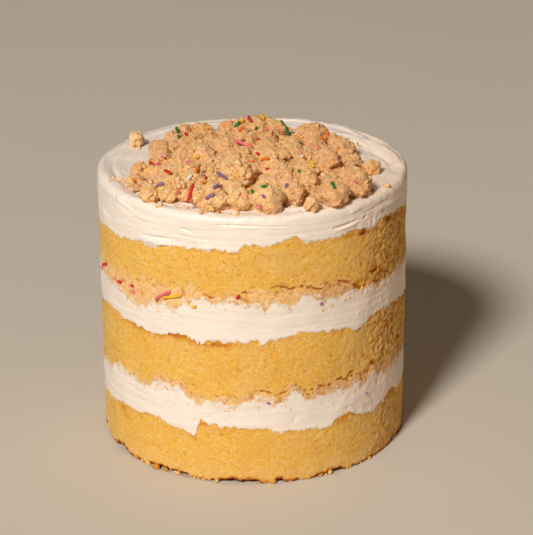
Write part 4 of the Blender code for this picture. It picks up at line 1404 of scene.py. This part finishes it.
def pressed_specks(name, band, seam, material, seed):
    """Crumbs pressed into a band of frosting, thickest just below the crumb layer on top of it."""
    rng = np.random.default_rng(seed)
    trees = (tree_over(band),)
    places = []
    widths = []
    for azimuth, half, count in SPECK_CLUSTERS:
        for _ in range(count):
            turn = azimuth + rng.normal(0, half / 2)
            height = seam[int(turn * COLUMNS / 360) % COLUMNS] - rng.exponential(SPECK_FADE)
            width = uneven_width(rng, SPECK_SIZES, SPECK_SIZE_BIAS)
            place, normal = outward_hit(trees, turn, height)
            if place is not None:
                places.append(place - normal * width * SPECK_SUNK)
                widths.append(width)
    mesh = strewn_mesh(name, places, widths, ball(2), rng, hollow=SPECK_DARKNESS, bright=SPECK_BRIGHTNESS)
    return add_piece(name, mesh, material, "crumbs")


# Sugar strands

def strand_shape(length, rng):
    """Points of a slightly bent strand along X, as rings between two rounded ends. Short bits are thinner."""
    rings = []
    half = length / 2
    radius = min(STRAND_RADIUS, SHORT_STRAND_SHARE * length)
    ends = [(half - radius * (1 - math.cos(turn)), math.sin(turn)) for turn in STRAND_END_ANGLES]
    inner = ends[-1][0]
    between = [(x, 1.0) for x in np.linspace(-inner, inner, STRAND_MIDDLE_RINGS + 2)[1:-1]]
    bend = rng.uniform(-STRAND_BEND, STRAND_BEND) * length
    for x, size in sorted([(-x, size) for x, size in ends] + ends + between):
        swollen = size * radius * rng.uniform(*STRAND_SWELLING)
        aside = bend * (1 - (x / half) ** 2)
        for k in range(STRAND_SIDES):
            turn = math.tau * k / STRAND_SIDES
            rings.append((x, aside + swollen * math.cos(turn), swollen * math.sin(turn)))
    return [(-half, 0, 0)] + rings + [(half, 0, 0)]


def strand_faces(count):
    """Faces of a strand with this many points, ends included."""
    rings = (count - 2) // STRAND_SIDES
    faces = []
    for k in range(STRAND_SIDES):
        after = (k + 1) % STRAND_SIDES
        faces.append((0, 1 + after, 1 + k))
        last = 1 + (rings - 1) * STRAND_SIDES
        faces.append((count - 1, last + k, last + after))
        for ring in range(rings - 1):
            start = 1 + ring * STRAND_SIDES
            faces.append((start + k, start + after, start + STRAND_SIDES + after, start + STRAND_SIDES + k))
    return faces


def lying(middle, along, out):
    """The frame of a strand: X along it and Z out of the surface."""
    x_axis = along.normalized()
    y_axis = out.cross(x_axis).normalized()
    made = Matrix((x_axis, y_axis, x_axis.cross(y_axis))).transposed().to_4x4()
    made.translation = middle
    return made


def camera_matrix():
    """Where the camera stands and how it is turned."""
    back = Vector((0, -math.cos(CAMERA_ELEVATION), math.sin(CAMERA_ELEVATION)))
    aim = (-back).to_track_quat("-Z", "Y").to_matrix().to_4x4()
    eye = CAMERA_TARGET + back * CAMERA_DISTANCE
    return Matrix.Translation(eye) @ aim @ Matrix.Rotation(CAMERA_ROLL, 4, "Z")


def camera_ray(x, y):
    """The direction from the camera through a place in the image."""
    wide, high = IMAGE_SIZE
    pixel = SENSOR / max(IMAGE_SIZE) / LENS
    through = Vector(((x - wide / 2) * pixel, (high / 2 - y) * pixel, -1))
    return (camera_matrix().to_3x3() @ through).normalized()


def nearest_hit(trees, start, direction):
    """Where a ray first meets one of these surfaces: the place, the normal and the distance."""
    hits = [tree.ray_cast(start, direction) for tree in trees]
    hits = [(hit[0], hit[1], hit[3]) for hit in hits if hit[0] is not None]
    return min(hits, key=lambda hit: hit[2]) if hits else None


def seen_at(trees, x, y):
    """Where the camera's ray through a place in the image, or through the next below it, meets a surface."""
    eye = camera_matrix().translation
    for lower in range(IMAGE_SIZE[1]):
        hit = nearest_hit(trees, eye, camera_ray(x, y + lower))
        if hit:
            return hit


def rested(trees, middle, along, slope):
    """The frame of a strand that is laid on the bumps along it and sinks a little into the highest."""
    heights = []
    for share in REST_PLACES:
        hit = nearest_hit(trees, middle + along * share + slope * REST_REACH, -slope)
        height = REST_REACH - hit[2] if hit else -REST_REACH
        heights.append(min(max(height, -REST_RANGE), REST_RANGE))
    tilt, level = np.polyfit(REST_PLACES, heights, 1)
    highest = max(height - tilt * share - level for share, height in zip(REST_PLACES, heights))
    rise = level + REST_SHARE * highest + STRAND_RADIUS - STRAND_SUNK
    return lying(middle + slope * float(rise), along + slope * float(tilt), slope)


def heap_strand(trees, x0, y0, x1, y1):
    """Length and frame of a strand whose ends are seen at two places in the image.

    It lies along the slope of the crumbs under it, but no deeper into the view than its length allows.
    """
    middle, normal, distance = seen_at(trees, (x0 + x1) / 2, (y0 + y1) / 2)
    ray = camera_ray((x0 + x1) / 2, (y0 + y1) / 2)
    near = [seen_at(trees, x, y)[1] for x, y in ((x0, y0), (x1, y1))]
    slope = (normal + near[0] + near[1] + Vector((0, 0, 1))).normalized()
    first, last = camera_ray(x0, y0), camera_ray(x1, y1)
    flat = (last / last.dot(ray) - first / first.dot(ray)) * distance
    deep = -flat.dot(slope) / ray.dot(slope)
    most = math.sqrt(max(LONGEST_STRAND ** 2 - flat.length ** 2, 0))
    along = flat + ray * min(max(deep, -most), most)
    length = max(along.length, SHORTEST_STRAND)
    return length, rested(trees, middle, along.normalized() * length, slope)


def far_strand(trees, x, y, length, heading):
    """Length and frame of a strand that lies across the bumps on the far side of the heap."""
    turn = math.radians(heading)
    along = Vector((math.cos(turn), math.sin(turn), 0)) * length * MM
    middle = landing(trees, x * MM, y * MM)[0]
    return length * MM, rested(trees, middle, along, Vector((0, 0, 1)))


def side_strand(trees, azimuth, height, length, slope):
    """Length and frame of a strand that lies in the side of the crumbs."""
    place, _ = outward_hit(trees, azimuth, height * MM)
    turn = math.radians(azimuth)
    rise = math.radians(slope)
    out = Vector((math.sin(turn), -math.cos(turn), 0))
    along = out.cross(Vector((0, 0, -1))) * math.cos(rise)
    along += Vector((0, 0, 1)) * math.sin(rise)
    return length * MM, lying(place + out * (STRAND_RADIUS - 2 * STRAND_SUNK), along, out)


def sprinkles(trees, side_trees):
    """One piece for each colour of sugar strand."""
    rng = np.random.default_rng(8)
    for colour, tone in STRAND_COLOURS.items():
        points = []
        faces = []
        laid = [heap_strand(trees, *row) for row in HEAP_STRANDS[colour]]
        laid += [far_strand(trees, *row) for row in FAR_STRANDS.get(colour, ())]
        laid += [side_strand(side_trees, *row) for row in SIDE_STRANDS.get(colour, ())]
        for length, place in laid:
            shape = strand_shape(length, rng)
            faces += [[len(points) + corner for corner in face] for face in strand_faces(len(shape))]
            points += [place @ Vector(point) for point in shape]
        mesh = bpy.data.meshes.new("sprinkles_" + colour)
        mesh.from_pydata([tuple(point) for point in points], [], faces)
        add_piece("sprinkles_" + colour, mesh, strand_look(colour, tone), "sprinkles", "crumb_topping")


# Floor, camera and light

def studio_floor():
    """A wide plain pale floor."""
    made = bmesh.new()
    bmesh.ops.create_circle(made, cap_ends=True, segments=FLOOR_SIDES, radius=FLOOR_RADIUS)
    mesh = bpy.data.meshes.new("studio_floor")
    made.to_mesh(mesh)
    made.free()
    look = Look("studio_floor", Roughness=0.8, Specular_IOR_Level=0.2)
    mesh.materials.append(look.finish(look.blend(look.noise(FLOOR_CLOUD_SIZE), *FLOOR_TONES)))
    floor = bpy.data.objects.new("studio_floor", mesh)
    bpy.context.scene.collection.objects.link(floor)
    floor.location.z = -BASE_LIFT


def studio_camera():
    """The camera, at the angle and the distance of the view that the cake is shown from."""
    data = bpy.data.cameras.new("camera")
    data.lens = LENS
    data.sensor_width = SENSOR
    made = bpy.data.objects.new("camera", data)
    made.matrix_world = camera_matrix()
    bpy.context.scene.collection.objects.link(made)
    bpy.context.scene.camera = made


def area_light(name, azimuth, elevation, distance, size, watts, colour):
    """A round soft light that shines at the middle of the cake."""
    data = bpy.data.lights.new(name, "AREA")
    data.shape = "DISK"
    data.size = size
    data.energy = watts
    data.color = colour
    made = bpy.data.objects.new(name, data)
    turn = math.radians(azimuth)
    rise = math.radians(elevation)
    back = Vector((math.sin(turn) * math.cos(rise), -math.cos(turn) * math.cos(rise), math.sin(rise)))
    made.location = Vector((0, 0, CAKE_TOP / 2)) + back * distance
    made.rotation_euler = (-back).to_track_quat("-Z", "Y").to_euler()
    bpy.context.scene.collection.objects.link(made)


def studio_light():
    """A large key light from the front left, weak lights from the right and behind, and an even surround."""
    for row in LIGHTS:
        area_light(*row)
    world = bpy.data.worlds.new("surround")
    world.use_nodes = True
    background = world.node_tree.nodes["Background"]
    background.inputs["Color"].default_value = SURROUND_COLOUR
    background.inputs["Strength"].default_value = SURROUND_STRENGTH
    bpy.context.scene.world = world
    bpy.context.scene.view_settings.view_transform = "Standard"


def seams():
    """Height of each seam at every column, from the foot of the cake up."""
    bottom = scalloped(with_lobes(rim("frosting_lower", np.min), BOTTOM_LOBES), seed=100)
    lower = crumbled(with_lobes(rim("frosting_lower", np.max), LOWER_LOBES), seed=110, strength=0.5 * MM)
    over_lower = crumbled(rim("cake_layer_middle", np.min), seed=120, strength=0.4 * MM)
    lower_crumbs = np.maximum(over_lower, lower + LEAST_LOWER_CRUMBS)
    middle = scalloped(with_lobes(rim("cake_layer_middle", np.max), MIDDLE_LOBES), seed=130)
    upper = crumbled(with_lobes(rim("frosting_middle", np.max), UPPER_LOBES), seed=140, strength=0.6 * MM)
    over_upper = with_lobes(rim("cake_layer_top", np.min), OVER_CRUMBS_LOBES)
    over_upper = crumbled(over_upper, seed=150, strength=0.5 * MM)
    upper_crumbs = np.maximum(over_upper, upper + LEAST_UPPER_CRUMBS)
    top = scalloped(with_lobes(rim("cake_layer_top", np.max), TOP_LOBES), seed=160)
    return worn_base(), bottom, lower, lower_crumbs, middle, upper, upper_crumbs, top


def main():
    """Lay the looks over the solids from the foot up, then set up the floor, the camera and the lights."""
    sponge = sponge_look()
    cream = cream_look()
    crumbs = crumb_look("crumbs", CLUMP_GLOW)
    grains = crumb_look("crumb_grains", 0.0)
    base, bottom, lower, lower_crumbs, middle, upper, upper_crumbs, top = seams()
    lowest_sponge = sponge_layer("bottom_sponge", "cake_layer_bottom", base, bottom, sponge, 0.6)
    lower_cream = cream_layer("lower_frosting", "frosting_lower", bottom, lower, cream)
    crumb_layer("lower_crumbs", "crumb_layer_lower", lower, lower_crumbs, THIN_CRUMB_ROWS, crumbs,
                LOWER_CRACKS)
    sponge_layer("middle_sponge", "cake_layer_middle", lower_crumbs, middle, sponge, 0.6, LOWER_CRACKS)
    middle_cream = cream_layer("middle_frosting", "frosting_middle", middle, upper, cream)
    upper_band = crumb_layer("upper_crumbs", "crumb_layer_upper", upper, upper_crumbs, CRUMB_ROWS, crumbs,
                             UPPER_CRACKS)
    top_sponge = sponge_layer("top_sponge", "cake_layer_top", upper_crumbs, top, sponge, 0.25, UPPER_CRACKS)
    cap = frosting_cap(top, cream)
    base_crumbs(tree_over(lowest_sponge), sponge)
    pressed_specks("lower_specks", lower_cream, lower, grains, seed=21)
    pressed_specks("middle_specks", middle_cream, upper, grains, seed=22)
    clumped = with_clumps(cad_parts["crumb_topping"])
    heap = crumbly("crumb_heap", "crumb_topping", clumped, HEAP_VOXEL, crumbs, seed=900)
    fallen = fallen_crumbs(crumbs)
    trees = [tree_over(heap), tree_over(cap)]
    edging = edge_crumbs(trees[0], crumbs)
    strewn = strewn_crumbs(grains, heap, trees)
    trees += [tree_over(piece) for piece in [strewn, edging] + fallen]
    sprinkles(trees, [tree_over(band) for band in (upper_band, middle_cream, lower_cream, top_sponge)])
    studio_floor()
    studio_camera()
    studio_light()


main()
